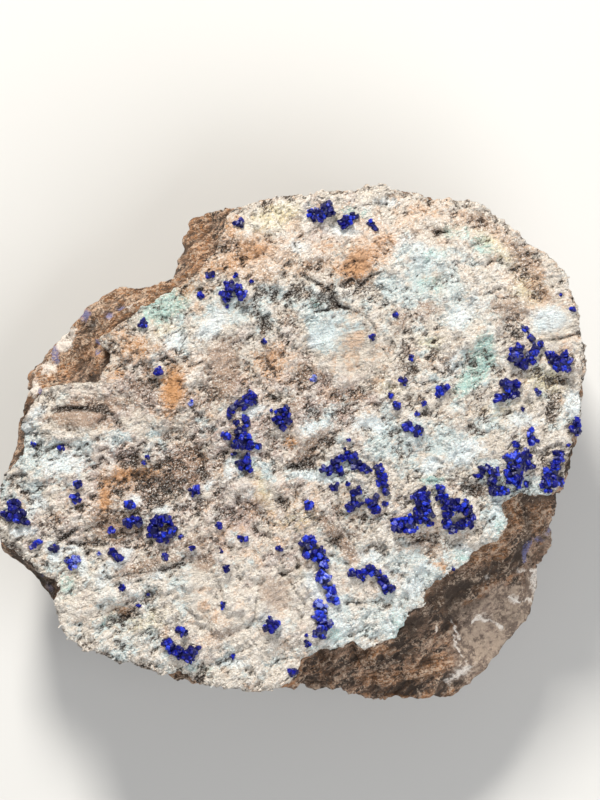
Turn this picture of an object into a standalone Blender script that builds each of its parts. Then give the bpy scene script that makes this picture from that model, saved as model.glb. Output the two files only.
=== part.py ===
"""Allophane crust with azurite crystals on limonitic rock: a hand specimen lying on its back.

The display face looks up along +Z, +X is its right side and +Y its far side. The origin is the
middle of the specimen on the surface that it rests on. Every length below is in millimetres,
and each mesh is turned to metres when it is made into an object.
"""
import math
import random

import bmesh
import bpy
from mathutils import Matrix, Vector, noise

MM = 0.001

# Driving dimensions
FACE_HEIGHT = 16.9        # highest part of the broad face above the surface it rests on
FACE_CROWN = 1.1          # fall of the broad face from its middle to the rim
CRUST_DEPTH = 1.9         # from the broad face down to the rock under the crust
JOINT_GAP = 0.35          # between the rock and the underside of the crust
CRUST_WALL = 0.55         # height of the upper part of the crust's broken edge
ROCK_SETBACK = 0.6        # the rock turns down this far inside the edge of the crust
BASE_SHARE = 0.72         # reach of the flat base as a share of the outline above it
CRYSTAL_GAP = 0.15        # between the crust and each crystal
CRYSTAL_SINK = 0.34       # share of a crystal's height below the surface of the crust

LINK_SHARE = 0.37         # crystals this near, as a share of their two sizes, are grown together

CRUST_CELLS = 24          # cells along each side of the crust's grid
ROCK_SECTORS = 90         # faces round the rock

# Edge of the crust, clockwise from the upper left: x, y
CRUST_EDGE = (
    # far rim
    (-5.4, 20.8), (-3.4, 21.4), (-2.1, 21.95), (2.5, 22.15), (3.1, 22.55), (5.4, 22.45),
    (6.4, 22.8), (8.3, 23.1), (9.3, 22.5), (11.6, 22.1), (14.0, 21.5), (15.0, 21.7),
    (17.3, 21.2), (20.6, 18.5), (23.9, 16.2), (24.7, 15.9),
    # right rim
    (24.5, 15.2), (25.8, 12.4), (25.8, 10.9), (26.3, 8.3), (26.5, 6.4), (25.9, 4.2),
    (26.2, 3.4), (25.6, 1.2), (24.7, -2.4), (24.1, -4.9),
    # broken edge above the bare rock
    (23.2, -5.05), (20.6, -4.75), (18.95, -5.7), (19.35, -7.5), (18.6, -9.0), (16.5, -9.95),
    (15.9, -10.95), (14.3, -11.95), (12.5, -13.1), (11.7, -14.8), (10.4, -15.6), (9.4, -17.9),
    (7.2, -18.9), (6.5, -18.9), (5.6, -18.1), (4.6, -18.55), (2.5, -19.0), (0.8, -19.8),
    (0.4, -21.3), (-0.3, -22.0),
    # near rim
    (-3.0, -22.8), (-8.3, -22.1), (-10.2, -20.8), (-12.2, -21.15), (-13.6, -20.4),
    (-14.6, -20.0), (-15.6, -20.3), (-17.6, -19.1), (-18.6, -19.1), (-20.8, -17.3),
    (-21.0, -15.4), (-21.4, -14.4), (-20.9, -13.3), (-22.9, -11.6), (-25.6, -9.5),
    # left rim
    (-26.4, -9.3), (-26.5, -8.6), (-26.5, -5.6), (-26.0, -3.2), (-24.1, -1.2), (-24.6, 1.2),
    (-22.9, 4.3), (-22.2, 4.8),
    # edge against the bare rock at the upper left
    (-20.0, 5.1), (-17.6, 5.2), (-16.3, 7.6), (-17.6, 9.0), (-15.2, 10.6), (-13.4, 12.0),
    (-9.6, 14.0), (-8.3, 15.5), (-6.8, 17.2), (-5.9, 19.8),
)

# Outline of the rock seen from above, clockwise from the upper left: x, y
ROCK_EDGE = (
    # under the far rim and the right rim of the crust
    (-6.4, 20.9), (-3.0, 20.9), (2.5, 21.5), (8.3, 22.4), (14.0, 20.9), (17.0, 20.6),
    (20.2, 18.0), (24.0, 15.3), (25.1, 12.2), (25.7, 8.2), (25.8, 6.0),
    # bare rock at the right and below the broken edge
    (26.4, 4.9), (26.0, 1.05), (24.8, -3.2), (24.0, -5.9), (23.3, -8.3), (22.2, -11.2),
    (21.6, -11.6), (21.8, -13.1), (21.3, -15.8), (20.4, -17.0), (18.0, -19.15), (17.5, -20.0),
    (14.9, -22.3), (14.1, -22.75), (9.7, -23.1), (4.4, -22.45), (0.5, -22.4),
    # under the near rim
    (-3.0, -22.2), (-8.3, -22.3), (-12.25, -21.3), (-14.5, -19.6), (-17.5, -18.6),
    (-20.3, -16.9), (-21.4, -15.0),
    # slivers at the lower left and the left
    (-23.5, -12.3), (-26.3, -9.8), (-26.2, -8.0), (-26.0, -5.6), (-25.6, -2.7), (-24.9, -0.7),
    # brown side at the upper left
    (-24.7, 1.2), (-23.6, 4.5), (-23.1, 6.8), (-20.5, 9.8), (-18.2, 11.9), (-16.0, 13.55),
    (-11.9, 13.95), (-10.5, 14.5), (-9.9, 17.0), (-8.9, 19.9), (-8.0, 20.0), (-7.0, 20.7),
)

# Steepness of the bare rock from the crust's edge outwards: compass angle in degrees, fall per mm
ROCK_FALLS = (
    (-180, 1.1), (-150, 1.3), (-120, 1.0), (-95, 0.8), (-80, 0.58), (-55, 0.56), (-38, 0.72),
    (-28, 1.25), (-14, 1.35), (-5, 0.9), (20, 0.8), (90, 0.8), (112, 1.1), (135, 1.0),
    (160, 1.0), (180, 1.1),
)

# Side of the rock below its outline: height as a share of the outline's, reach as a share
ROCK_SIDE = ((0.82, 0.965), (0.62, 0.95), (0.4, 0.90), (0.18, 0.83), (0.0, BASE_SHARE))

# Lumps, ledges and hollows of the crust: x, y, half length, half width, turn in degrees, rise
CRUST_FORMS = (
    (-12.0, -4.0, 4.8, 3.2, 25, -0.75),
    (-6.2, 7.2, 2.4, 2.6, 0, -0.5),
    (-1.6, 7.0, 2.2, 2.4, 30, -0.35),
    (4.8, 8.4, 3.4, 3.0, 0, -0.5),
    (4.6, 12.6, 4.2, 1.3, -8, 0.5),
    (9.0, 16.5, 3.4, 2.0, 20, 0.35),
    (-18.9, 1.8, 3.2, 1.2, -4, 0.55),
    (-14.6, -15.4, 1.8, 1.2, 30, -0.6),
    (-13.0, -12.0, 5.0, 1.3, 24, 0.5),
    (-17.5, -9.0, 3.8, 1.1, 20, -0.4),
    (-9.0, -13.2, 2.6, 1.8, 0, 0.45),
    (0.5, -13.4, 3.2, 2.2, -55, -0.4),
    (5.0, -10.0, 2.4, 1.6, -45, -0.45),
    (12.6, -9.4, 3.0, 1.6, -20, -0.45),
    (10.5, -4.5, 5.0, 3.5, 10, 0.35),
    (19.8, 11.2, 2.4, 2.4, 0, -0.55),
    (23.3, 10.6, 2.0, 1.8, 0, 0.4),
    (21.6, 7.6, 3.0, 1.6, -20, 0.3),
    (19.5, -2.6, 2.8, 2.0, 0, 0.35),
    (15.0, 6.0, 3.0, 4.0, 20, -0.3),
    (3.0, 21.6, 4.0, 1.4, 4, 0.45),
    (-4.0, 18.4, 2.6, 1.8, 20, 0.35),
    (-3.6, 1.4, 3.0, 2.6, 40, 0.3),
    (0.8, -19.0, 3.5, 1.6, 10, 0.3),
)

# Crystals grown together: x, y, size of each one
AZURITE_GROUPS = {
    "azurite_far_edge": (
        (1.8, 20.45, 0.6), (2.4, 20.25, 0.65), (2.65, 20.0, 0.6), (3.05, 20.9, 0.65),
        (3.5, 20.5, 0.6),
    ),
    "azurite_far_edge_pair": ((4.9, 19.65, 0.85), (5.5, 20.05, 0.6)),
    "azurite_far_edge_specks": ((7.2, 19.6, 0.6), (7.35, 19.1, 0.6)),
    "azurite_upper_left": (
        (-5.45, 13.8, 0.75), (-5.9, 13.1, 0.75), (-5.0, 13.65, 0.7), (-4.5, 13.15, 0.65),
        (-5.7, 12.7, 0.6), (-5.75, 14.1, 0.6),
    ),
    "azurite_middle_pair": ((10.5, 1.2, 0.9), (11.2, 0.85, 0.9)),
    "azurite_middle_specks": ((13.1, 4.2, 0.65), (13.6, 4.65, 0.65)),
    "azurite_right_chain": (
        (20.8, 10.2, 0.6), (21.2, 9.95, 0.6), (21.3, 9.5, 0.6), (21.45, 9.15, 0.6),
    ),
    "azurite_right_cluster": (
        (20.4, 8.15, 0.7), (20.05, 7.45, 0.6), (20.7, 6.8, 0.7), (20.4, 6.55, 0.6),
        (21.5, 7.6, 0.7), (21.25, 7.3, 0.7), (21.8, 7.15, 0.6), (21.85, 8.1, 0.75),
        (22.4, 8.5, 0.65),
    ),
    "azurite_right_rim": (
        (23.25, 7.7, 0.75), (23.55, 7.25, 0.75), (24.5, 7.7, 0.7), (24.4, 6.9, 0.85),
    ),
    "azurite_right_knot": (
        (19.35, 4.95, 0.85), (20.3, 4.95, 0.75), (20.0, 4.5, 0.6), (19.65, 4.1, 0.75),
        (18.8, 3.8, 0.9),
    ),
    "azurite_rim_pair": ((25.5, 1.6, 0.65), (25.4, 0.95, 0.7)),
    "azurite_bright_pair": ((21.4, 0.55, 0.85), (21.65, -0.05, 0.8)),
    "azurite_lower_right_field": (
        (19.85, -1.7, 0.8), (21.0, -1.45, 0.9), (21.1, -2.25, 0.8), (21.75, -2.3, 0.6),
        (20.45, -2.45, 0.65), (19.5, -3.05, 0.95), (19.6, -3.5, 0.7), (20.25, -3.25, 0.7),
        (20.3, -3.9, 0.6),
    ),
    "azurite_lower_right_arc": (
        (16.8, -3.2, 0.65), (17.05, -2.75, 0.6), (17.6, -2.6, 0.8), (18.15, -2.9, 0.65),
        (18.0, -3.6, 0.75), (18.15, -4.4, 0.75), (18.95, -4.45, 0.7),
    ),
    "azurite_lower_right_rim": (
        (24.0, -1.5, 0.85), (23.7, -2.2, 0.8), (24.15, -2.4, 0.6), (23.7, -2.8, 0.6),
        (23.05, -3.0, 0.85), (22.6, -3.4, 0.75), (23.2, -3.75, 0.75), (22.7, -4.0, 0.6),
        (24.05, -3.7, 0.65), (23.05, -4.4, 0.7),
    ),
    "azurite_arch": (
        (3.0, -2.6, 0.8), (3.4, -2.75, 0.95), (3.4, -3.1, 0.6), (4.25, -2.8, 0.6),
        (3.95, -2.2, 0.7), (4.5, -1.6, 0.95), (5.0, -1.2, 0.95), (5.45, -1.6, 0.9),
        (5.9, -2.2, 0.7), (6.6, -2.55, 0.95),
    ),
    "azurite_chain": (
        (7.75, -2.55, 0.95), (7.75, -3.0, 0.7), (8.05, -3.5, 0.95), (8.25, -4.15, 0.7),
        (8.4, -4.65, 0.75),
    ),
    "azurite_trio": ((3.5, -4.15, 0.8), (3.9, -4.3, 0.7), (4.1, -3.9, 0.6)),
    "azurite_triangle": (
        (5.95, -4.5, 0.8), (5.55, -4.85, 0.75), (5.5, -5.45, 0.7), (5.4, -6.0, 0.85),
        (6.0, -5.9, 0.6), (6.3, -5.65, 0.65), (6.75, -5.55, 0.65), (7.3, -5.65, 0.85),
        (7.45, -5.15, 0.6), (7.55, -6.3, 0.7),
    ),
    "azurite_twin": (
        (11.65, -4.55, 0.95), (11.2, -5.0, 0.85), (12.0, -5.1, 0.85), (11.4, -5.6, 0.8),
        (12.1, -5.6, 0.75), (11.65, -6.4, 1.05), (11.2, -6.4, 0.8), (12.2, -6.35, 0.85),
        (12.6, -6.75, 0.6), (11.1, -7.1, 0.8), (11.8, -7.1, 0.8), (12.35, -7.4, 0.65),
        (10.6, -6.95, 0.7), (10.55, -7.65, 0.95), (9.55, -7.65, 1.0),
    ),
    "azurite_ring": (
        (13.25, -4.45, 0.85), (13.25, -5.0, 0.85), (13.8, -5.4, 0.85), (13.85, -5.95, 0.7),
        (14.45, -5.7, 0.8), (15.1, -6.1, 0.8), (15.6, -5.65, 0.85), (15.75, -6.25, 0.85),
        (16.2, -6.75, 0.7), (15.95, -7.3, 0.85), (15.3, -7.7, 0.85), (14.6, -7.85, 0.95),
        (13.95, -7.4, 0.85), (14.15, -6.7, 0.8),
    ),
    "azurite_long_chain": (
        (1.65, -8.75, 0.7), (1.35, -9.3, 0.8), (1.45, -10.2, 0.9), (2.05, -10.4, 0.8),
        (2.55, -10.05, 0.7), (2.75, -10.85, 0.8), (2.9, -11.3, 0.75), (2.8, -11.8, 0.85),
        (2.45, -12.45, 0.95), (3.15, -12.4, 0.9), (3.0, -13.05, 0.9), (3.55, -13.4, 0.9),
        (3.6, -14.1, 0.8), (4.0, -14.7, 0.65),
    ),
    "azurite_chain_foot": (
        (2.4, -14.85, 0.95), (2.9, -15.3, 0.75), (2.4, -15.9, 1.1), (1.85, -15.9, 0.7),
        (2.75, -16.1, 0.9), (3.1, -16.7, 0.7), (2.5, -17.35, 1.2),
    ),
    "azurite_near_arc": (
        (5.4, -12.05, 0.65), (6.0, -12.1, 0.6), (6.5, -12.1, 0.7), (7.1, -11.7, 0.7),
        (7.6, -12.0, 0.95), (8.1, -12.55, 0.85), (8.4, -13.05, 0.95), (8.35, -13.55, 0.85),
        (9.0, -13.3, 0.65),
    ),
    "azurite_bow": (
        (-3.78, 3.9, 0.65), (-3.4, 3.5, 0.7), (-4.3, 3.3, 0.65), (-4.8, 3.1, 0.65),
        (-5.2, 2.85, 0.65), (-5.55, 2.6, 0.75), (-5.6, 2.2, 0.6),
    ),
    "azurite_left_pair": ((-4.2, 1.8, 0.7), (-4.15, 1.35, 0.6)),
    "azurite_knot": (
        (-4.8, 0.7, 0.85), (-4.5, 1.0, 0.6), (-4.4, 0.35, 0.75), (-4.85, -0.25, 0.85),
        (-4.5, -0.45, 0.8), (-3.8, -0.1, 0.75), (-3.7, -0.5, 0.6), (-3.15, -0.45, 0.7),
    ),
    "azurite_knot_foot": ((-4.0, -1.65, 0.6), (-4.45, -2.15, 0.85), (-3.85, -2.6, 0.85)),
    "azurite_round": (
        (-1.2, 2.7, 0.8), (-0.6, 2.65, 0.85), (-0.45, 2.25, 0.65), (-1.3, 1.75, 0.8),
        (-0.5, 1.7, 0.8), (-0.95, 1.25, 0.75),
    ),
    "azurite_left_tip": (
        (-25.0, -5.85, 1.1), (-25.8, -6.75, 0.7), (-24.9, -6.75, 0.85), (-24.1, -7.35, 0.8),
    ),
    "azurite_lower_left_ring": (
        (-11.35, -7.1, 0.8), (-12.1, -7.35, 0.65), (-12.45, -8.15, 0.95), (-12.0, -8.5, 0.8),
        (-11.55, -8.75, 0.95), (-10.75, -8.3, 0.85),
    ),
    "azurite_lower_left_pair": ((-14.0, -7.25, 0.75), (-14.7, -7.4, 0.7)),
    "azurite_lower_left_specks": ((-16.15, -10.15, 0.8), (-15.6, -10.55, 0.8)),
    "azurite_pale_specks": (
        (-19.5, -10.75, 0.65), (-20.15, -10.9, 0.6), (-19.85, -11.2, 0.7),
    ),
    "azurite_left_rim_pair": ((-23.0, -9.2, 0.9), (-23.35, -9.6, 0.6)),
    "azurite_crescent": (
        (-11.0, -18.35, 0.8), (-10.5, -19.05, 0.75), (-10.1, -19.4, 0.7), (-9.2, -19.4, 1.0),
        (-8.9, -19.0, 0.9), (-8.55, -18.75, 0.8),
    ),
    "azurite_single_a": ((-4.8, 19.5, 1.0),),
    "azurite_single_b": ((-7.4, 14.8, 0.9),),
    "azurite_single_c": ((-13.3, 10.4, 0.9),),
    "azurite_single_d": ((-12.05, 6.2, 0.9),),
    "azurite_single_e": ((10.1, 5.3, 0.85),),
    "azurite_single_f": ((9.35, 3.15, 0.85),),
    "azurite_single_g": ((1.5, -5.8, 0.95),),
    "azurite_single_h": ((-5.9, 0.4, 0.95),),
    "azurite_single_i": ((-19.3, -3.95, 0.85),),
    "azurite_single_j": ((-19.5, -5.2, 1.0),),
    "azurite_single_k": ((-8.65, -4.6, 0.95),),
    "azurite_single_l": ((-14.6, -5.85, 0.95),),
    "azurite_single_m": ((-4.4, -8.85, 0.85),),
    "azurite_single_n": ((-21.4, -9.8, 0.9),),
    "azurite_single_o": ((-9.9, -17.2, 0.9),),
    "azurite_single_p": ((-1.8, -16.75, 1.3),),
    "azurite_single_q": ((0.05, -20.85, 1.0),),
}

# Colour, roughness and metallic value of each material
FINISHES = {
    "limonitic_rock": ((0.17, 0.10, 0.06), 0.85, 0.0),
    "allophane": ((0.62, 0.60, 0.56), 0.75, 0.0),
    "azurite": ((0.02, 0.02, 0.30), 0.3, 0.0),
}


def heading(x, y):
    """Angle of a place round the middle, in radians."""
    return math.atan2(y, x)


def blend(low, high, value):
    """Smooth step from 0 at low to 1 at high, where low may be the larger one."""
    share = min(1.0, max(0.0, (value - low) / (high - low)))
    return share * share * (3 - 2 * share)


class Edge:
    """A closed outline that every ray from the middle crosses once."""

    def __init__(self, points):
        self.points = [Vector(p) for p in points]
        self.pairs = list(zip(self.points, self.points[1:] + self.points[:1]))
        self.length = sum((b - a).length for a, b in self.pairs)

    def at(self, share):
        """Place at a share of the way round."""
        left = (share % 1.0) * self.length
        for a, b in self.pairs:
            run = (b - a).length
            if left <= run:
                return a.lerp(b, left / run)
            left -= run
        return self.points[0].copy()

    def reach(self, angle):
        """Distance from the middle to the outline in a direction."""
        way = Vector((math.cos(angle), math.sin(angle)))
        for a, b in self.pairs:
            side = b - a
            across = way.x * side.y - way.y * side.x
            if abs(across) < 1e-12:
                continue
            distance = (a.x * side.y - a.y * side.x) / across
            share = (a.x * way.y - a.y * way.x) / across
            if distance > 0 and -1e-9 <= share <= 1 + 1e-9:
                return distance
        raise ValueError("a direction misses the outline")

    def ring(self, count):
        """Places evenly round the outline, the nearest ones moved onto its corners."""
        places = [self.at(i / count) for i in range(count)]
        walked = 0.0
        for a, b in self.pairs:
            places[round(walked / self.length * count) % count] = a.copy()
            walked += (b - a).length
        return places


CRUST = Edge(CRUST_EDGE)
ROCK = Edge(ROCK_EDGE)


def face(x, y):
    """Broad form of the display face: a low crown that falls off to the left and the far side."""
    share = min(1.0, math.hypot(x, y) / CRUST.reach(heading(x, y)))
    left = 0.9 * blend(6.0, 26.0, -x)
    far = 0.7 * blend(12.0, 23.0, y)
    return FACE_HEIGHT - FACE_CROWN * share ** 3 - left - far


def lumps(x, y):
    """Height of the crust's lumps, ledges and hollows above the broad face."""
    rise = 0.0
    for cx, cy, length, width, turn, height in CRUST_FORMS:
        c = math.cos(math.radians(turn))
        s = math.sin(math.radians(turn))
        u = ((x - cx) * c + (y - cy) * s) / length
        v = ((y - cy) * c - (x - cx) * s) / width
        rise += height * math.exp(-u * u - v * v)
    rise += 0.30 * noise.noise(Vector((x * 0.16, y * 0.16, 3.0)))
    rise += 0.32 * noise.noise(Vector((x * 0.42, y * 0.42, 8.0)))
    return rise


def rock_fall(angle):
    """Fall per millimetre of the bare rock in a direction."""
    degrees = math.degrees(angle)
    for (start, low), (end, high) in zip(ROCK_FALLS, ROCK_FALLS[1:]):
        if start <= degrees <= end:
            return low + (high - low) * (degrees - start) / (end - start)
    raise ValueError("a direction has no fall")


def new_object(name, bm, finish):
    """Turn a mesh in millimetres into an object in metres, with its own material."""
    bmesh.ops.scale(bm, vec=(MM, MM, MM), verts=bm.verts)
    bmesh.ops.recalc_face_normals(bm, faces=bm.faces)
    mesh = bpy.data.meshes.new(name)
    bm.to_mesh(mesh)
    bm.free()
    obj = bpy.data.objects.new(name, mesh)
    bpy.context.scene.collection.objects.link(obj)
    colour, roughness, metallic = FINISHES[finish]
    material = bpy.data.materials.new(name)
    material.diffuse_color = (*colour, 1.0)
    material.use_nodes = True
    shader = material.node_tree.nodes["Principled BSDF"]
    shader.inputs["Base Color"].default_value = (*colour, 1.0)
    shader.inputs["Roughness"].default_value = roughness
    shader.inputs["Metallic"].default_value = metallic
    mesh.materials.append(material)
    return obj


def next_ring(bm, edges, number, places):
    """Extrude a ring of edges; number is the layer that numbers the vertices round the ring."""
    made = bmesh.ops.extrude_edge_only(bm, edges=edges)["geom"]
    verts = {g for g in made if isinstance(g, bmesh.types.BMVert)}
    for vert in verts:
        vert.co = places[vert[number]]
    return [e for e in bm.edges if e.verts[0] in verts and e.verts[1] in verts]


def triangles(bm):
    """Cut every face with more than three corners, on the shorter diagonal."""
    bmesh.ops.triangulate(bm, faces=bm.faces, quad_method="SHORT_EDGE", ngon_method="BEAUTY")


def shrunk(places, share, height):
    """A ring pulled in towards the middle, its height read from a function of x and y."""
    return [Vector((p.x * share, p.y * share, height(p.x * share, p.y * share))) for p in places]


def under_crust(x, y):
    """Top of the rock where the crust covers it."""
    return face(x, y) - CRUST_DEPTH


def square_ring(u, v):
    """Share of the way round its square ring for a place in the grid."""
    half = max(abs(u), abs(v))
    if u == half:
        return (v / half + 1) / 8
    if v == half:
        return (3 - u / half) / 8
    if u == -half:
        return (5 - v / half) / 8
    return (7 + u / half) / 8


def crust_body():
    """The crust: a lumpy grid above, a broken wall round it and a smooth underside."""
    bm = bmesh.new()
    number = bm.verts.layers.int.new("number")
    bmesh.ops.create_grid(bm, x_segments=CRUST_CELLS, y_segments=CRUST_CELLS, size=1.0)
    count = 4 * CRUST_CELLS
    ring = CRUST.ring(count)
    for vert in bm.verts:
        u = round(vert.co.x, 5)
        v = round(vert.co.y, 5)
        half = max(abs(u), abs(v))
        place = Vector((0.0, 0.0))
        if half > 0:
            # the outline runs clockwise, and the grid's rings run the other way
            spot = (-square_ring(u, v) * count) % count
            before = int(spot) % count
            place = ring[before].lerp(ring[(before + 1) % count], spot - int(spot)) * half
            if half == 1.0:
                vert[number] = round(spot) % count
        x, y = place
        vert.co = (x, y, face(x, y) + lumps(x, y))
    rim = [e for e in bm.edges if e.is_boundary]
    tops = {v[number]: v.co.copy() for e in rim for v in e.verts}
    wall = []
    foot = []
    for i, place in enumerate(ring):
        outer = shrunk([place], 1.0 - 0.01 * noise.noise(Vector((place.x, place.y, 2.0))), face)[0]
        outer.z = tops[i].z - CRUST_WALL
        wall.append(outer)
        low = shrunk([place], 0.982, under_crust)[0]
        low.z += JOINT_GAP
        foot.append(low)
    edges = next_ring(bm, rim, number, wall)
    edges = next_ring(bm, edges, number, foot)
    for share in (0.72, 0.45, 0.2):
        places = shrunk(ring, share, lambda x, y: under_crust(x, y) + JOINT_GAP)
        edges = next_ring(bm, edges, number, places)
    bmesh.ops.edgeloop_fill(bm, edges=edges)
    triangles(bm)
    return bm


def rock_rings():
    """Rings of the rock from the middle of its top, over the bare slopes, down to the base."""
    outline = ROCK.ring(ROCK_SECTORS)
    covered = []
    for place in outline:
        angle = heading(*place)
        reach = min(CRUST.reach(angle), place.length) - ROCK_SETBACK
        covered.append(place.normalized() * reach)
    rings = [shrunk(covered, share, under_crust) for share in (0.2, 0.45, 0.72, 1.0)]
    for step in (0.25, 0.5, 0.75, 1.0):
        ring = []
        for inner, outer in zip(covered, outline):
            place = inner.lerp(outer, step)
            run = (place - inner).length
            start = under_crust(*inner)
            rough = 0.9 * noise.noise(Vector((place.x * 0.3, place.y * 0.3, 21.0)))
            fall = run * rock_fall(heading(*outer)) + rough * min(1.0, run * 0.5)
            ring.append(Vector((place.x, place.y, start - max(0.25 * run, fall))))
        rings.append(ring)
    rim = rings[-1]
    for level, share in ROCK_SIDE:
        ring = []
        for place in rim:
            broad = noise.noise(Vector((place.x * 0.11, place.y * 0.11, 5.0 + 2.0 * level)))
            chip = noise.noise(Vector((place.x * 0.36, place.y * 0.36, 9.0 + 4.0 * level)))
            rough = (0.10 * broad + 0.05 * chip) * blend(1.0, 0.7, level)
            step = 0.10 * noise.noise(Vector((place.x * 0.2, place.y * 0.2, 40.0 + 5.0 * level)))
            pull = share * (1.0 + rough) if level else share
            height = place.z * (level + step * min(level, 1.0 - level) * 4.0)
            ring.append(Vector((place.x * pull, place.y * pull, height)))
        rings.append(ring)
    return rings


def rock_body():
    """The rock: flat underneath, rough round its sides, bare where the crust ends."""
    bm = bmesh.new()
    number = bm.verts.layers.int.new("number")
    rings = rock_rings()
    bmesh.ops.create_circle(bm, segments=ROCK_SECTORS, radius=1.0, cap_ends=True)
    bm.verts.ensure_lookup_table()
    for i, vert in enumerate(bm.verts):
        vert[number] = i
        vert.co = rings[0][i]
    edges = [e for e in bm.edges if e.is_boundary]
    for ring in rings[1:]:
        edges = next_ring(bm, edges, number, ring)
    bmesh.ops.edgeloop_fill(bm, edges=edges)
    triangles(bm)
    return bm


def linked(crystals):
    """Groups of crystals that overlap, as sets of their numbers."""
    groups = [{i} for i in range(len(crystals))]
    for i, (x, y, size) in enumerate(crystals):
        for j, (x2, y2, size2) in enumerate(crystals[:i]):
            if math.hypot(x - x2, y - y2) < LINK_SHARE * (size + size2):
                joined = [g for g in groups if i in g or j in g]
                groups = [g for g in groups if g not in joined] + [set().union(*joined)]
    return groups


def grown_together(crystals):
    """Let crystals grow until each one overlaps another and the group is one body."""
    grown = list(crystals)
    while True:
        groups = linked(grown)
        if len(groups) == 1:
            return grown
        _, i, j = min(
            (math.hypot(grown[i][0] - grown[j][0], grown[i][1] - grown[j][1]), i, j)
            for i in groups[0] for j in range(len(grown)) if j not in groups[0]
        )
        for k in (i, j):
            x, y, size = grown[k]
            grown[k] = (x, y, size * 1.05)


def crystal(bm, x, y, size, rng):
    """One blocky crystal: a leaning box whose sides draw in towards its end face."""
    made = bmesh.ops.create_cube(bm, size=1.0)["verts"]
    narrow = (rng.uniform(0.6, 0.85), rng.uniform(0.65, 0.9))
    for vert in made:
        if vert.co.z > 0:
            vert.co.x *= narrow[0]
            vert.co.y *= narrow[1]
    height = size * rng.uniform(0.95, 1.25)
    turn = Matrix.Rotation(rng.uniform(0.0, math.pi), 4, "Z")
    tilt = Matrix.Rotation(rng.uniform(-0.35, 0.35), 4, "X")
    sizes = Matrix.Diagonal((size * rng.uniform(0.95, 1.1), size * rng.uniform(0.85, 1.0), height, 1))
    ground = face(x, y) + lumps(x, y)
    place = Matrix.Translation((x, y, ground + height * (0.5 - CRYSTAL_SINK)))
    bmesh.ops.transform(bm, matrix=place @ turn @ tilt @ sizes, verts=made)


def azurite_group(name, crystals, crust_guide):
    """Crystals grown together in one solid, cut clear of the crust that they stand on."""
    rng = random.Random(name)
    bm = bmesh.new()
    for x, y, size in grown_together(crystals):
        crystal(bm, x, y, size, rng)
    group = new_object(name, bm, "azurite")
    trim = group.modifiers.new("trim", "BOOLEAN")
    trim.operation = "DIFFERENCE"
    trim.solver = "EXACT"
    trim.use_self = len(crystals) > 1
    trim.object = crust_guide
    return group


def crust_cutter(crust):
    """A raised and slightly wider copy of the crust, which the crystals are cut with."""
    guide = bpy.data.objects.new("crust_guide", crust.data.copy())
    bpy.context.scene.collection.objects.link(guide)
    wider = 1.0 + CRYSTAL_GAP / 25.0
    raised = Matrix.Translation((0.0, 0.0, CRYSTAL_GAP * MM))
    guide.data.transform(raised @ Matrix.Diagonal((wider, wider, 1.0, 1.0)))
    guide.hide_render = True
    guide.display_type = "WIRE"
    return guide


def main():
    for obj in list(bpy.data.objects):
        bpy.data.objects.remove(obj, do_unlink=True)
    new_object("host_rock", rock_body(), "limonitic_rock")
    crust = new_object("allophane_crust", crust_body(), "allophane")
    guide = crust_cutter(crust)
    for name, crystals in AZURITE_GROUPS.items():
        azurite_group(name, crystals, guide)


main()
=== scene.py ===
"""Looks of a hand specimen: allophane crust with azurite crystals on limonitic rock.

The specimen lies on its back with the display face up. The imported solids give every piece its
place, and this script gives each one its fine surface and its finish. It is laid out as an
add-on and run as a script. Lengths in the tables are millimetres in the specimen's own frame.
"""
import math
import random

import bmesh
import bpy
import numpy as np
from bpy.props import FloatProperty, FloatVectorProperty, IntProperty, PointerProperty
from mathutils import Matrix, Vector, noise
from mathutils.bvhtree import BVHTree
from mathutils.kdtree import KDTree


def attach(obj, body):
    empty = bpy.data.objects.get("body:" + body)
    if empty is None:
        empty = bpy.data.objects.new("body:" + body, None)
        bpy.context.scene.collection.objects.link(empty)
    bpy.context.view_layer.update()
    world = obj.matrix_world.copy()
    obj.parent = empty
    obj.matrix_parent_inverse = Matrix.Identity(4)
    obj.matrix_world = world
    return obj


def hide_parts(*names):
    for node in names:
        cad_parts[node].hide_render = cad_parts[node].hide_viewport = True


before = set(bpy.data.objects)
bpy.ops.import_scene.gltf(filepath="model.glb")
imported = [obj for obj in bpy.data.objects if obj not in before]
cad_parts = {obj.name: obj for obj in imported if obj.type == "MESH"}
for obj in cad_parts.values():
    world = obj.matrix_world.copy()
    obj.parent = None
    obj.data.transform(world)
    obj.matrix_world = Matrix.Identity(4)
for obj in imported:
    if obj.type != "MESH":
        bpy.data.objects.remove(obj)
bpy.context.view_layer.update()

bl_info = {
    "name": "Allophane Specimen",
    "version": (1, 0, 0),
    "blender": (4, 5, 0),
    "location": "View3D > Sidebar > Specimen",
    "description": "Crust, rock, crystals and stage of an allophane specimen with azurite",
    "category": "Object",
}

MM = 0.001
ROCK = "host_rock"
CRUST = "allophane_crust"
AZURITE = sorted(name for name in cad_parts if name.startswith("azurite"))

# Directions in which an outline is measured
SECTORS = 1440
# Direction of the crust's flaky crumbs, in degrees
FLAKE_TURN = 28.0
# Vertices nearer than this are one, and a height above every surface
WELD = 0.0005
ABOVE = 60.0
# How fast a stain fades outwards, and its greatest strength
STAIN_FADE = 0.8
STAIN_LIMIT = 1.3
# Heights of the rock: its underside, where its sides end, and where its stains come in
UNDERSIDE = 0.01
SIDES_TO = 11.0
STAINS_COME_IN = (6.0, 8.0)
# Share of the crust's reach from which the rock counts as bare, and how often its sides are smoothed
BARE_FROM = 0.8
SMOOTHED = 5
# Azurite: how deep the small crystals sit, and how far down a face may look and still bear them
SEAT_DEPTH = 0.23
LOOKS_DOWN = -0.2
# Tone of the plain solids under the small crystals, a dark navy that is painted shade in the gaps between
# them, and the worn edge as a share of a crystal's size
CORE_SHADE_TONE = 0.2
WORN = 0.11

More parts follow.
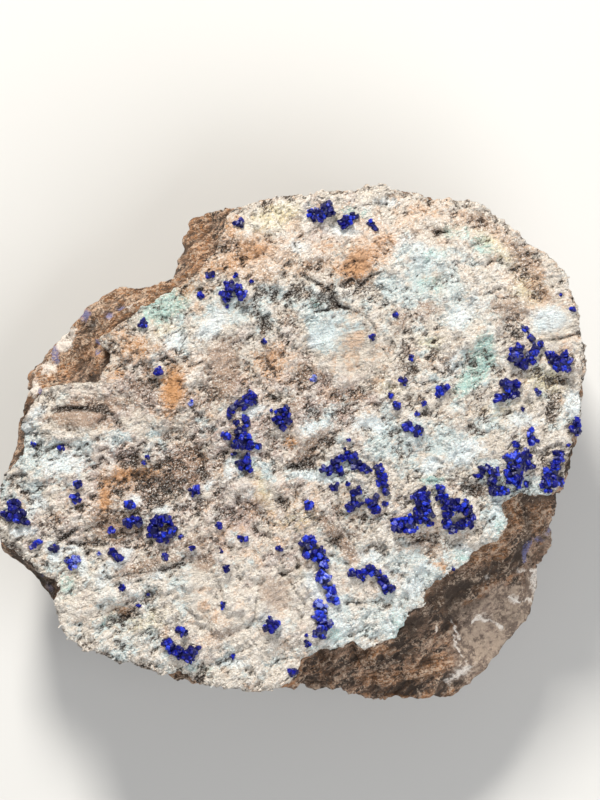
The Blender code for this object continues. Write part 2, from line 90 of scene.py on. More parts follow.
# Stains of the crust: x, y, half length, half width, turn in degrees, strength
STAINS = {
    "pale_blue": (
        (14.0, 9.0, 7.0, 8.0, 0, 0.22), (20.0, 0.5, 6.0, 5.0, 0, 0.18), (12.0, 16.0, 6.0, 2.4, -10, 0.35),
        (-8.1, 1.1, 1.2, 0.9, 0, 0.6), (2.0, 1.1, 1.8, 1.0, 0, 0.6), (2.5, -3.2, 3.0, 0.7, -8, 0.8),
        (-2.2, -3.2, 1.6, 0.6, -30, 0.6), (-3.6, 2.2, 1.2, 0.8, 0, 0.5), (-23.6, -1.0, 2.0, 1.6, 0, 0.6),
        (10.5, 13.5, 2.4, 1.8, 0, 0.6), (15.5, 11.8, 1.8, 1.4, 0, 0.5), (11.0, 0.5, 4.0, 1.6, 0, 0.5),
        (4.8, 8.6, 3.2, 3.0, 0, 0.2), (1.0, 12.5, 5.0, 2.0, 10, 0.45), (-6.0, 11.5, 3.6, 2.0, 20, 0.5),
        (-10.5, 9.2, 1.8, 1.4, 0, 0.5), (13.0, -10.5, 5.0, 2.6, -30, 0.62), (18.5, -6.5, 1.4, 2.6, 0, 0.6),
        (10.5, -13.0, 2.6, 2.6, -40, 0.5), (9.0, -16.5, 2.0, 1.6, 0, 0.55), (20.0, -4.2, 4.0, 1.0, 0, 0.5),
        (15.0, -1.2, 3.0, 2.0, 0, 0.5), (8.0, -1.0, 3.0, 1.6, 0, 0.4), (-20.8, -2.0, 3.4, 2.2, 0, 0.5),
        (-17.0, -15.0, 5.5, 3.0, 25, 0.3), (-9.0, -13.0, 4.5, 3.0, 20, 0.3), (-6.0, -19.5, 6.0, 2.2, 0, 0.25),
        (2.5, -8.5, 4.0, 3.0, -50, 0.35), (-0.5, -17.0, 4.0, 3.0, 0, 0.25), (-14.0, -18.5, 4.0, 1.6, 10, 0.3),
        (6.0, -16.5, 3.0, 2.0, 0, 0.5), (-24.5, -6.0, 2.0, 2.6, 0, 0.45), (-16.5, 0.0, 3.2, 0.8, 5, 0.6),
        (-20.0, -12.4, 2.4, 1.4, -40, 0.4), (-4.4, -1.6, 1.2, 1.6, 0, 0.5), (3.6, 3.0, 2.4, 0.8, 20, 0.4),
        (3.6, 9.4, 1.8, 2.0, 0, 0.7), (23.4, 10.8, 1.6, 1.2, 0, 0.5),
    ),
    "turquoise": (
        (-11.5, 12.0, 2.4, 1.1, 32, 1.3), (17.4, 8.6, 0.9, 1.2, 0, 0.8), (16.9, 6.8, 1.1, 1.4, -20, 1.0),
        (15.6, 5.0, 1.3, 0.8, 40, 0.95), (12.4, 14.0, 1.6, 1.2, 0, 0.45), (17.3, 17.3, 1.4, 0.8, -40, 0.7),
        (14.6, 18.8, 1.2, 0.7, 0, 0.55), (2.2, 12.3, 0.7, 0.4, 0, 0.7), (5.6, 20.6, 2.2, 0.5, -10, 0.5),
        (12.9, -3.6, 1.3, 0.4, 0, 0.8), (12.5, 16.6, 1.4, 0.7, 20, 0.5), (-16.0, -16.0, 1.6, 0.8, 30, 0.5),
        (9.6, -16.8, 1.0, 1.4, 0, 0.5), (15.2, -10.4, 1.2, 0.6, -30, 0.6), (-8.6, -20.8, 2.4, 0.5, 0, 0.4),
        (4.0, -17.4, 1.2, 0.8, 0, 0.5), (-20.4, -13.0, 1.0, 1.4, 0, 0.5), (18.6, -8.0, 0.6, 1.4, 0, 0.5),
    ),
    "rust": (
        (6.4, 16.5, 2.2, 1.3, 40, 0.75), (5.4, 15.4, 1.3, 0.7, 0, 0.7), (-10.75, 4.3, 0.9, 1.7, 0, 1.3),
        (5.9, 16.0, 0.9, 0.9, 0, 0.7), (1.2, 15.6, 0.8, 0.5, 0, 0.5),
        (-1.7, 7.1, 1.5, 1.3, 0, 0.85), (-16.85, -5.1, 0.5, 1.5, 0, 1.2), (-15.3, -3.4, 1.0, 0.7, 0, 1.0),
        (-3.8, 17.5, 1.3, 0.8, 20, 0.7), (-13.8, 8.2, 1.3, 0.9, 0, 0.7), (-0.2, -0.2, 0.6, 0.5, 0, 0.7),
        (-8.2, -1.6, 0.6, 0.5, 0, 0.6), (13.4, -11.2, 0.9, 0.5, -30, 0.7), (-7.05, -15.9, 0.7, 0.5, 0, 0.6),
        (-7.95, -14.9, 0.5, 0.5, 0, 0.6), (-15.1, -15.4, 0.9, 0.6, 20, 0.7), (8.2, 17.9, 1.2, 0.6, 30, 0.6),
        (-5.6, 19.2, 0.9, 1.4, 0, 0.6), (-9.4, 13.6, 1.3, 0.8, 40, 0.5), (12.0, 20.6, 2.0, 0.5, -10, 0.4),
        (-15.6, 9.0, 1.2, 0.9, 0, 0.5), (3.2, 17.6, 1.2, 0.7, 0, 0.45), (-16.0, 6.2, 1.0, 0.7, 0, 0.5),
        (-13.4, -3.0, 1.7, 0.5, -5, 0.9), (-6.0, 15.9, 2.2, 0.7, 15, 0.7), (-2.6, 17.0, 1.4, 0.6, 20, 0.6),
        (22.3, 14.0, 1.0, 1.2, 0, 0.4), (-10.6, 6.2, 0.6, 0.9, 0, 0.6),
    ),
    "tan": (
        (-6.15, 7.2, 1.5, 2.0, 0, 1.0), (1.0, 6.1, 0.9, 0.8, 0, 0.8), (12.5, -9.3, 1.8, 0.8, -20, 0.8),
        (4.2, -9.0, 2.6, 0.5, -53, 1.1), (-1.5, -13.8, 1.6, 1.3, -50, 0.9), (19.5, 11.7, 1.5, 1.3, 0, 0.9),
        (5.6, 14.6, 2.0, 0.7, 10, 0.7), (-19.2, 1.9, 2.6, 0.8, -4, 0.4), (-11.4, -3.2, 3.4, 1.7, 25, 0.7),
        (-13.4, -11.6, 3.2, 0.8, 15, 0.6), (-8.4, -10.4, 1.4, 0.9, 20, 0.4),
        (16.8, 19.8, 1.3, 0.8, -30, 0.7), (20.0, 17.4, 2.0, 0.6, -40, 0.6), (-1.6, 6.6, 1.1, 0.8, 0, 0.6),
        (-7.8, -11.2, 0.8, 0.7, 0, 0.9), (2.2, -0.4, 2.4, 0.9, 38, 0.9), (-16.2, -7.6, 1.8, 1.6, 0, 1.0),
        (-8.8, -2.4, 1.4, 2.4, 0, 0.5), (5.9, 4.0, 1.8, 0.9, 20, 0.5), (-0.6, 11.0, 1.2, 0.8, 0, 0.5),
        (22.5, 13.2, 1.3, 0.8, -30, 0.8), (-6.5, 4.2, 2.2, 1.4, 20, 0.5), (-13.0, 5.0, 2.4, 1.6, 0, 0.5),
        (-17.5, 3.4, 3.0, 0.8, 0, 0.6), (-10.0, -9.4, 3.0, 1.0, 20, 0.5), (16.8, -4.7, 1.2, 0.6, 0, 0.7),
        (6.0, -8.6, 1.8, 0.8, 0, 0.5), (9.6, 10.6, 1.0, 0.9, 0, 0.5), (12.5, 12.0, 2.0, 1.0, 20, 0.4),
        (2.5, 15.8, 2.4, 1.0, 10, 0.5), (11.0, 18.6, 2.2, 0.8, 10, 0.5), (-3.0, -6.0, 2.2, 1.2, 30, 0.45),
        (-19.4, 1.9, 2.8, 0.9, -4, 0.6), (21.4, 15.6, 1.6, 0.8, -40, 0.6), (-11.6, -18.2, 1.6, 0.7, 20, 0.5),
        (0.2, 3.4, 1.6, 1.2, 0, 0.45), (14.6, 1.6, 1.6, 0.9, 0, 0.35), (-6.0, -17.4, 2.0, 0.9, 20, 0.5),
    ),
    # The umber stains are partly real dark brown and partly painted shadow in crevices and under ledges
    "umber": (
        (-12.0, -3.4, 3.8, 2.2, 30, 0.7), (-14.4, -1.4, 1.6, 1.0, 0, 0.5), (-9.4, -5.6, 1.8, 1.2, 0, 0.6),
        (20.5, 9.7, 1.0, 0.8, 0, 0.9), (19.8, 11.0, 0.9, 0.8, 0, 0.8), (16.8, -4.6, 0.9, 0.4, 0, 0.8),
        (3.4, 13.6, 1.2, 0.5, -10, 0.8), (-3.0, 13.0, 1.4, 0.7, 0, 0.6), (12.8, 7.3, 0.7, 0.5, 0, 0.6),
        (20.4, 6.4, 1.4, 0.6, 0, 0.6), (19.4, -3.4, 1.2, 0.8, 0, 0.55), (-14.6, -15.4, 1.0, 0.5, 30, 0.3),
        (0.9, -2.4, 1.0, 0.35, 0, 0.5), (-17.4, -9.2, 2.4, 0.4, 20, 0.6), (-13.4, -9.6, 1.4, 0.6, 0, 0.5),
        (-4.4, 12.2, 1.3, 0.8, 0, 0.6), (5.2, 13.6, 2.8, 0.8, 10, 0.9), (1.4, 13.0, 1.6, 0.7, -20, 0.8),
        (11.0, -8.6, 1.4, 0.5, -10, 0.5), (23.4, 3.0, 0.9, 1.4, 0, 0.5), (18.0, 13.6, 0.8, 0.6, 0, 0.5),
        (-2.6, 10.6, 1.0, 0.5, 0, 0.4), (-18.5, -6.4, 1.4, 0.6, 0, 0.5), (-8.0, 17.2, 0.8, 1.2, 0, 0.7),
        (23.0, -2.6, 0.8, 0.7, 0, 0.6), (5.4, -3.0, 1.4, 0.6, 0, 0.4), (22.6, 6.0, 1.4, 0.6, -20, 0.5),
        (2.6, -9.8, 0.8, 0.8, 0, 0.5), (2.4, -0.8, 2.4, 0.5, 38, 0.7), (0.6, -2.5, 0.9, 0.6, 0, 0.6),
        (-10.4, -11.4, 3.0, 0.4, 18, 0.5), (-14.6, -6.9, 1.3, 0.8, 20, 0.9), (-1.6, 6.4, 0.7, 0.6, 0, 0.5),
        (16.6, -3.6, 0.9, 0.8, 0, 0.6), (-19.0, 2.85, 2.6, 0.3, 0, 0.7), (-16.0, 1.4, 0.9, 0.5, 0, 0.5),
        (19.2, 12.9, 0.8, 0.5, 0, 0.5), (3.6, 12.3, 1.2, 0.6, -20, 0.9), (1.2, 15.6, 0.9, 0.6, 0, 0.6),
        (10.2, 6.0, 0.9, 0.9, 0, 0.5),
    ),
    "bright": (
        (-20.6, -2.2, 1.7, 0.9, 0, 1.0), (-14.1, -5.4, 0.6, 0.5, 0, 1.0), (-11.8, -6.3, 0.9, 0.5, 10, 0.8),
        (-7.2, 10.3, 1.7, 0.8, 50, 1.0), (-10.5, 9.0, 1.1, 0.8, 0, 0.9), (15.7, 11.7, 1.4, 0.8, 30, 0.8),
        (12.1, 16.5, 1.2, 1.0, 0, 0.8), (14.6, 10.6, 0.8, 0.6, 0, 0.8), (7.0, 1.5, 1.6, 0.8, 0, 0.8),
        (15.7, -1.2, 1.6, 1.1, 20, 0.9), (12.4, -2.4, 1.3, 0.7, 0, 0.8), (20.5, 1.8, 1.5, 0.8, 0, 0.8),
        (25.3, 3.3, 0.9, 1.2, 0, 0.9), (18.4, -7.4, 0.6, 1.5, 0, 0.9), (15.3, -10.1, 0.9, 0.7, 0, 1.0),
        (12.4, -11.4, 1.2, 0.6, 20, 0.8), (9.3, -16.4, 0.9, 1.3, 0, 0.9), (10.8, -13.2, 1.2, 0.8, -30, 0.8),
        (-24.3, -8.2, 1.1, 0.5, 0, 0.9), (-21.6, -9.9, 0.6, 0.9, 0, 0.9), (-16.0, -11.2, 1.4, 0.5, 15, 0.7),
        (-18.9, -11.4, 0.6, 0.9, 0, 0.8), (-11.9, -11.9, 1.0, 0.5, 20, 0.8), (-9.0, -10.3, 1.3, 0.5, 10, 0.8),
        (2.2, 1.0, 1.6, 0.8, 0, 0.8), (-3.7, 2.4, 1.1, 0.6, 20, 0.8), (2.4, -3.3, 2.2, 0.5, -8, 0.8),
        (-24.4, 0.8, 1.0, 0.6, 30, 0.9), (-22.8, 2.6, 1.0, 0.6, 30, 0.7), (5.6, 18.6, 1.0, 0.6, 0, 0.5),
        (0.6, 17.4, 1.0, 0.8, 0, 0.6), (-1.8, -16.6, 1.6, 0.7, -40, 0.7), (4.4, -17.2, 1.6, 1.0, 30, 0.8),
        (2.0, -13.0, 0.9, 1.7, 20, 0.7), (7.2, -10.6, 1.4, 0.8, 0, 0.7), (-5.4, -20.2, 2.0, 0.6, 0, 0.6),
        (3.9, 19.0, 1.2, 0.7, 0, 0.6), (8.6, 21.4, 2.0, 0.5, 0, 0.6), (16.0, 17.6, 1.6, 0.9, -30, 0.4),
        (10.0, 18.4, 1.4, 0.8, 0, 0.5), (-4.6, 16.6, 1.0, 0.6, 0, 0.5), (22.4, 11.0, 1.6, 1.2, 0, 0.4),
        (14.5, 6.6, 1.0, 1.4, 0, 0.4), (-14.6, -13.0, 1.6, 0.6, 20, 0.4), (6.6, -18.6, 1.2, 0.6, 0, 0.5),
        (-22.9, -5.6, 0.9, 0.7, 0, 0.8), (-17.1, -12.6, 0.9, 0.6, 20, 0.8), (-15.0, -9.9, 0.9, 0.4, 0, 0.7),
        (-20.0, -9.9, 0.9, 0.5, 20, 0.8), (-7.6, -4.0, 0.9, 0.5, 30, 0.6), (-5.6, -2.6, 0.6, 1.2, 0, 0.6),
        (3.4, 9.7, 1.3, 1.4, 0, 0.5), (2.0, 8.8, 0.5, 0.7, 0, 0.8), (23.5, 10.9, 1.5, 1.1, 0, 0.6),
    ),
    "yellow": (
        (-2.0, 19.8, 1.8, 1.0, 10, 0.9), (-0.6, 20.8, 1.3, 0.6, 0, 0.6), (18.4, 17.3, 2.3, 0.8, -35, 0.8),
        (21.4, 13.4, 1.6, 1.3, 0, 0.7), (22.9, 5.4, 2.0, 1.4, 0, 0.7), (19.0, 2.6, 2.2, 1.2, 0, 0.45),
        (-2.7, -4.5, 0.8, 2.2, 15, 0.5), (0.7, -7.2, 1.8, 1.6, 0, 0.45), (9.0, 4.6, 1.8, 1.2, 0, 0.4),
        (-11.4, 9.6, 1.6, 0.9, 20, 0.5), (3.4, 20.2, 2.4, 0.7, 0, 0.4), (-13.0, -16.4, 2.4, 1.0, 20, 0.45),
        (12.4, 8.8, 1.2, 0.8, 0, 0.6), (1.6, -11.8, 1.6, 1.2, 0, 0.4), (-19.0, -11.6, 2.0, 1.0, 0, 0.4),
    ),
    "peach": (
        (-4.5, 18.0, 4.5, 2.4, 20, 0.9), (-2.4, 15.4, 3.6, 1.4, -10, 0.7), (8.0, 19.8, 4.0, 1.2, 0, 0.5),
        (14.0, 19.6, 4.0, 1.5, -25, 0.7), (20.6, 15.4, 2.6, 2.6, 0, 0.6), (21.4, 12.6, 2.6, 1.4, -20, 0.8),
        (5.6, 16.6, 3.2, 2.0, 20, 0.8), (24.4, 7.4, 1.8, 1.4, 0, 0.7), (-14.0, 9.0, 2.6, 2.2, 0, 0.6),
        (-9.0, 6.0, 4.5, 3.0, 0, 0.45), (-14.0, -4.2, 3.2, 1.6, 20, 0.7), (-19.6, -6.4, 3.0, 1.6, 0, 0.45),
        (-2.0, -8.4, 3.4, 2.4, 0, 0.5), (1.0, -5.6, 3.6, 2.6, 0, 0.4), (12.2, -9.2, 3.2, 1.6, -20, 0.8),
        (-7.4, -16.4, 4.0, 1.6, 15, 0.55), (-1.0, -18.2, 2.2, 1.8, 0, 0.6), (8.6, 7.6, 2.6, 2.0, 0, 0.35),
        (-16.0, -3.0, 1.6, 2.4, 0, 0.5), (4.6, 4.6, 3.0, 1.8, 0, 0.4), (17.8, -1.4, 3.2, 1.6, 0, 0.35),
        (19.5, 17.8, 3.2, 1.0, -40, 0.8), (0.0, 16.6, 2.4, 1.2, 0, 0.5), (-10.0, -18.4, 3.0, 1.0, 10, 0.4),
        (6.0, 8.4, 1.4, 1.2, 0, 0.9), (5.8, 6.8, 1.6, 0.9, 0, 0.6),
    ),
    # The clean stains are partly a cleaner crust and partly painted light that lifts areas sloping away from
    # the key light
    "clean": (
        (14.0, 17.0, 8.0, 4.6, -20, 1.0), (1.0, 18.6, 6.5, 2.8, 0, 1.0), (20.5, 7.0, 3.6, 5.0, 0, 0.3),
        (15.5, 10.5, 3.6, 3.4, 0, 0.4), (-2.0, -19.2, 8.0, 2.0, 0, 0.5), (-17.5, -14.0, 5.0, 3.0, 20, 0.5),
        (15.5, 0.0, 6.0, 3.6, 0, 0.3), (-20.6, -1.0, 3.6, 2.2, 0, 0.6), (-11.4, 12.0, 2.6, 1.4, 30, 0.8),
        (9.0, -14.0, 4.0, 3.4, -40, 0.6), (-6.4, 7.4, 1.8, 2.0, 0, 0.8), (-1.6, 7.0, 1.6, 1.4, 0, 0.6),
        (4.0, -1.4, 3.4, 1.6, 0, 0.4), (-20.0, 4.6, 3.6, 1.6, 0, 0.5), (-7.6, 10.2, 3.0, 1.4, 15, 0.6),
        (1.0, -14.5, 5.0, 4.0, 0, 1.0), (14.5, -9.5, 3.6, 2.4, -30, 0.9), (-7.0, -13.0, 4.0, 3.0, 0, 0.45),
        (-20.0, -4.0, 4.0, 3.0, 0, 0.4), (1.0, -4.0, 3.0, 2.0, 0, 0.3), (-3.0, -16.5, 6.0, 3.6, 0, 0.8),
        (8.0, -13.0, 3.0, 3.0, 0, 0.4), (-12.0, -17.0, 4.0, 2.0, 15, 0.3), (-19.4, -14.8, 3.0, 2.0, 20, 0.5),
    ),
    "pink": (
        (-12.0, 1.0, 9.0, 8.0, 0, 0.6), (-2.0, -4.0, 7.0, 5.0, 0, 0.5), (2.0, 4.0, 6.0, 4.0, 0, 0.5),
        (2.0, 18.5, 6.0, 2.6, 0, 0.5), (-18.0, -7.0, 5.0, 4.0, 0, 0.4), (10.0, 8.0, 3.0, 3.0, 0, 0.25),
        (-3.0, -11.0, 4.0, 4.0, 0, 0.35), (19.0, 4.0, 3.0, 3.0, 0, 0.3),
    ),
    "smooth": (
        (4.9, 8.5, 2.8, 2.8, 0, 1.0), (23.4, 10.5, 1.8, 1.7, 0, 1.0), (-9.0, -14.2, 1.1, 1.0, 0, 0.8),
        (-8.7, -11.9, 0.9, 0.8, 0, 0.8), (12.0, -1.0, 3.0, 2.0, 0, 0.4), (-19.0, 1.8, 2.8, 0.8, 0, 0.6),
        (-6.0, 11.4, 2.4, 1.4, 20, 0.6), (-1.5, -13.8, 1.5, 1.5, 0, 0.6), (3.4, -13.6, 1.4, 2.4, 25, 0.4),
        (-6.15, 7.2, 1.2, 1.6, 0, 0.5), (-2.7, -4.6, 1.0, 2.0, 15, 0.5), (-4.7, -8.1, 1.0, 0.9, 0, 0.5),
        (-16.2, -7.8, 1.2, 1.2, 0, 0.5), (-17.6, 4.2, 3.0, 1.0, 0, 0.4), (19.6, 12.0, 0.9, 0.8, 0, 0.3),
        (-10.75, 4.3, 0.6, 1.3, 0, 0.5), (-3.0, -16.4, 4.4, 2.8, 0, 0.35), (2.4, -9.6, 1.4, 2.6, 40, 0.35),
        (12.0, 14.8, 1.7, 1.5, 0, 0.6), (-14.0, 1.4, 3.4, 1.4, -10, 0.35), (-6.8, -9.6, 1.8, 2.4, 30, 0.3),
        (-18.6, -15.2, 3.0, 1.6, 20, 0.4),
    ),
}

# Cracks and ledges of the crust: width, depth, then the places that they pass. They are carved into the
# relief and painted umber, a painted shade in the cracks and under the ledges
CRACKS = (
    (0.20, 0.30, (4.4, 13.9), (5.3, 14.4), (6.2, 14.0), (7.2, 14.8), (8.3, 15.2)),
    (0.25, 0.35, (1.0, 14.8), (2.3, 14.1), (3.3, 13.5)),
    (0.20, 0.34, (2.0, 11.5), (3.5, 11.8), (4.3, 12.0), (5.0, 11.9)),
    (0.12, 0.24, (4.3, 12.0), (5.5, 11.7), (6.6, 11.1), (7.3, 10.4), (7.8, 9.2)),
    (0.20, 0.34, (3.4, 13.4), (3.7, 12.6), (4.2, 12.1)),
    (0.12, 0.20, (7.8, 8.6), (8.6, 7.6), (9.0, 6.4)),
    (0.20, 0.30, (22.2, 9.0), (24.05, 9.05), (25.0, 9.35), (26.1, 9.7)),
    (0.30, 0.35, (-21.6, 2.6), (-19.4, 2.8), (-17.6, 2.7), (-16.2, 2.3)),
    (0.20, 0.16, (-20.6, 1.0), (-19.0, 0.7), (-17.4, 1.3)),
    (0.26, 0.30, (-17.4, 1.6), (-16.4, 2.3), (-15.6, 1.4)),
    (0.12, 0.20, (-0.4, 20.2), (1.0, 19.6), (2.6, 19.8)),
    (0.12, 0.20, (3.6, -5.6), (4.4, -7.6), (5.4, -9.2), (6.4, -10.6)),
    (0.12, 0.20, (-5.2, -7.2), (-6.2, -8.4), (-6.0, -9.6)),
    (0.14, 0.22, (-9.8, -15.0), (-8.6, -16.0), (-7.4, -16.4)),
    (0.22, 0.25, (-24.3, 0.5), (-23.0, 0.6), (-21.7, 0.5)),
    (0.28, 0.40, (-21.7, -9.6), (-20.6, -8.8), (-19.4, -8.0)),
    (0.22, 0.28, (-20.0, -9.3), (-17.6, -9.5), (-15.0, -9.3)),
    (0.20, 0.22, (-17.0, -12.5), (-14.0, -12.0), (-11.6, -11.7), (-9.6, -11.0)),
    (0.18, 0.20, (-18.0, -13.6), (-15.0, -12.9), (-12.4, -12.5)),
    (0.14, 0.22, (-1.6, -11.2), (-1.05, -12.0), (-0.25, -12.7), (0.3, -13.6), (0.8, -14.35), (1.5, -15.6)),
    (0.16, 0.22, (-2.4, -12.6), (-3.0, -13.3), (-3.2, -14.3), (-3.35, -16.0), (-4.05, -16.95)),
    (0.20, 0.25, (3.2, -10.2), (4.35, -10.9), (5.4, -11.4)),
    (0.22, 0.25, (4.7, -14.65), (6.0, -14.7), (7.5, -14.6)),
    (0.20, 0.22, (12.0, -3.7), (13.0, -3.75), (14.0, -3.6)),
    (0.20, 0.25, (-8.6, 13.5), (-7.5, 13.4), (-6.5, 13.1)),
    (0.24, 0.25, (6.5, 21.2), (7.6, 21.3), (8.5, 21.3)),
    (0.18, 0.22, (12.7, 18.7), (14.0, 18.7)),
    (0.26, 0.30, (0.0, -2.3), (0.85, -2.4), (1.6, -2.2)),
    (0.18, 0.20, (-15.2, -15.9), (-14.6, -15.4), (-13.9, -15.2)),
    (0.12, 0.20, (-20.6, -15.6), (-18.6, -15.0), (-16.4, -14.9)),
    (0.22, 0.22, (10.0, -9.4), (11.6, -9.0), (13.4, -9.3)),
    (0.20, 0.20, (-13.0, 7.0), (-11.8, 7.3), (-10.4, 7.0)),
    (0.18, 0.18, (15.0, 13.4), (16.4, 13.0), (17.8, 13.2)),
)

# Stains of the rock: x, y, half length, half width, turn in degrees, strength
ROCK_STAINS = {
    "quartz": (
        (18.2, -16.6, 3.0, 2.6, 30, 1.3), (19.6, -17.4, 2.0, 1.6, 30, 1.0), (14.6, -21.2, 1.8, 0.9, 35, 0.7),
        (16.0, -18.8, 1.6, 1.8, 0, 0.8), (21.3, -13.0, 0.6, 2.2, 0, 0.9), (19.0, -13.6, 1.4, 0.8, 0, 0.4),
        (2.0, -21.8, 2.0, 0.6, 0, 0.4), (22.9, -8.2, 0.9, 1.9, 0, 0.65),
    ),
    "ochre": (
        (18.4, -8.6, 2.2, 1.0, 40, 1.0), (18.0, -10.3, 1.8, 0.6, 5, 0.8), (12.6, -20.2, 2.2, 0.9, 20, 0.9),
        (8.0, -21.4, 2.2, 0.8, 5, 0.8), (20.2, -5.6, 0.9, 0.8, 0, 0.8), (21.5, -7.45, 0.9, 1.2, 0, 1.0),
        (22.8, -6.4, 0.9, 1.0, 0, 0.7), (-8.5, 18.0, 1.3, 2.4, 0, 0.9), (-13.6, 12.6, 3.6, 0.9, 22, 0.9),
        (-20.6, 7.4, 2.8, 1.6, 40, 0.9), (-18.6, 9.8, 2.8, 1.4, 40, 0.9), (-16.5, 12.0, 2.8, 1.2, 25, 0.8),
        (-22.8, 5.6, 0.9, 1.4, 0, 0.6), (15.6, -12.2, 1.6, 0.5, 40, 0.4), (25.0, -7.4, 1.6, 0.5, 20, 0.9),
        (24.6, -9.6, 1.2, 0.5, 20, 0.7),
    ),
    # The dark stains are partly dark limonite and partly a painted shadow band at the foot of the crust's
    # broken edge
    "dark": (
        (14.4, -15.6, 0.7, 1.6, -15, 1.0), (13.6, -13.3, 2.0, 0.8, 45, 0.9),
        (11.4, -16.4, 0.8, 1.8, -30, 0.8), (16.6, -12.4, 2.4, 0.9, 35, 1.0),
        (19.4, -11.4, 1.4, 0.8, 60, 0.7), (8.6, -19.6, 2.0, 0.6, 20, 0.7), (21.0, -9.4, 0.4, 1.8, -10, 0.9),
        (3.0, -20.6, 2.6, 0.5, 5, 0.5), (-24.8, -8.5, 1.0, 2.6, 0, 0.8), (-22.6, -12.0, 1.0, 2.0, 30, 0.8),
        (-23.8, 3.6, 0.8, 1.2, 0, 0.6), (-10.0, 14.4, 1.2, 0.5, 30, 0.5), (20.8, -7.2, 0.35, 2.0, -4, 1.3),
        (22.4, -5.4, 1.8, 0.35, 0, 1.0),
    ),
    "cream": (
        (-20.2, 9.5, 0.9, 0.5, 40, 1.1), (-20.9, 8.5, 0.7, 0.5, 0, 1.1), (-22.1, 6.4, 0.8, 0.8, 0, 1.1),
        (-23.4, 4.6, 0.6, 0.9, 0, 1.0), (-18.0, 10.4, 0.6, 0.3, 30, 0.7), (-14.4, 12.0, 1.2, 0.3, 20, 0.6),
        (17.3, -12.4, 0.25, 0.25, 0, 1.0), (20.4, -11.6, 0.6, 0.3, 0, 0.8), (14.7, -21.0, 1.4, 0.6, 40, 0.9),
        (17.2, -16.0, 1.1, 0.5, -15, 0.7), (21.4, -13.4, 0.3, 1.4, 0, 0.8), (19.8, -14.5, 0.8, 0.4, -10, 0.7),
    ),
    "violet": (
        (-18.6, 11.15, 0.7, 0.4, 20, 1.1), (-16.3, 11.0, 0.5, 0.4, 0, 1.1), (-15.4, 11.8, 0.4, 0.3, 0, 1.0),
        (-21.5, 7.8, 0.35, 0.9, 0, 1.1), (-17.55, 7.9, 0.3, 0.3, 0, 1.0), (-17.6, 8.85, 0.3, 0.3, 0, 1.0),
        (-22.8, 4.3, 0.35, 0.3, 0, 0.9), (-23.6, 2.2, 0.3, 0.3, 0, 0.9), (22.1, -9.1, 0.5, 0.4, 0, 0.8),
        (22.8, -8.2, 0.4, 0.4, 0, 0.8), (21.1, -10.0, 0.2, 1.0, -18, 1.1), (-22.7, -12.2, 0.3, 0.3, 0, 0.8),
        (-24.9, -9.85, 0.3, 0.3, 0, 0.8), (25.4, -8.5, 1.0, 0.5, 20, 0.6), (-22.0, -13.4, 0.5, 0.4, -45, 0.8),
    ),
}

# Places at the rim where the rock is less rough, in the same form
CALM_RIM = (
    (26.5, 2.0, 1.6, 7.0, 0, 1.2), (-24.5, -9.5, 3.6, 3.6, 0, 1.2), (-26.0, 0.0, 2.4, 5.0, 0, 1.0),
    (-21.5, -13.4, 2.4, 2.4, 0, 1.2), (-10.4, 16.4, 1.2, 3.4, 0, 0.6), (-15.4, 13.4, 4.6, 1.2, 20, 0.6),
    (-20.4, 10.0, 3.4, 1.2, 45, 0.5),
)

# White veins of the bare rock: half width, then the places that they pass
VEINS = (
    (0.20, (16.1, -16.5), (16.85, -15.9), (17.3, -16.4), (17.9, -16.3), (18.7, -16.85)),
    (0.14, (14.3, -17.6), (14.6, -18.6), (15.3, -19.8)),
    (0.12, (12.8, -16.7), (12.7, -17.1), (12.85, -17.5)),
    (0.16, (19.35, -14.25), (20.1, -14.9), (20.9, -14.5), (21.5, -14.9)),
    (0.24, (13.55, -21.75), (14.6, -21.1), (15.75, -20.2)),
    (0.24, (21.5, -11.6), (21.6, -13.0), (21.4, -14.6)),
    (0.10, (13.9, -16.0), (14.4, -17.4), (14.9, -18.2)),
)

# Small azurite crystals: x, y, size
SPECKS = (
    (-8.2, 13.05, 0.8), (-5.1, 14.8, 0.6), (-3.65, 14.25, 0.5), (-5.85, 12.05, 0.45), (-2.5, 8.85, 0.6),
    (7.25, 9.25, 0.75), (9.3, 11.25, 0.6), (10.7, 7.4, 0.7), (8.9, 4.0, 0.65), (11.9, 3.25, 0.65),
    (11.25, 2.4, 0.6), (5.1, 0.0, 0.5), (-19.95, -11.5, 0.6), (25.3, 11.8, 0.7), (24.2, 13.1, 0.35),
    (20.8, 2.75, 0.45), (24.9, -0.4, 0.45), (20.15, -0.35, 0.8), (21.2, -3.95, 0.7), (5.0, -3.9, 0.55),
    (8.4, -5.8, 0.7), (1.3, -17.6, 0.4), (1.4, -18.3, 0.8), (14.5, -11.65, 0.45), (-5.0, 1.6, 0.65),
    (-5.25, -1.2, 0.6), (-1.9, 2.65, 0.4), (-23.4, -0.4, 0.7), (-20.8, -0.7, 0.8), (-13.0, -1.5, 0.6),
    (-13.3, -2.0, 0.55), (-16.3, -8.15, 0.8), (-9.95, -8.65, 0.55), (-6.55, -7.7, 0.8), (-9.0, -9.7, 0.7),
    (-6.4, -10.0, 0.5), (-1.15, -9.8, 0.75), (-11.4, -10.5, 0.8), (-5.9, -11.5, 0.85), (-15.3, -13.3, 0.75),
    (-12.95, -13.95, 0.35), (-13.8, -14.9, 0.5), (-6.2, -14.7, 0.5), (-6.25, -15.05, 0.5),
    (-5.35, -19.5, 0.6), (-2.0, -15.95, 0.4), (6.4, -12.6, 0.45), (23.2, -4.6, 0.5),
)
# Those under a pale film, in the same form
DUSTED_SPECKS = (
    (-9.1, 3.35, 0.65), (1.95, 5.55, 0.75), (22.1, 4.3, 0.8), (-17.4, -10.3, 0.5),
)

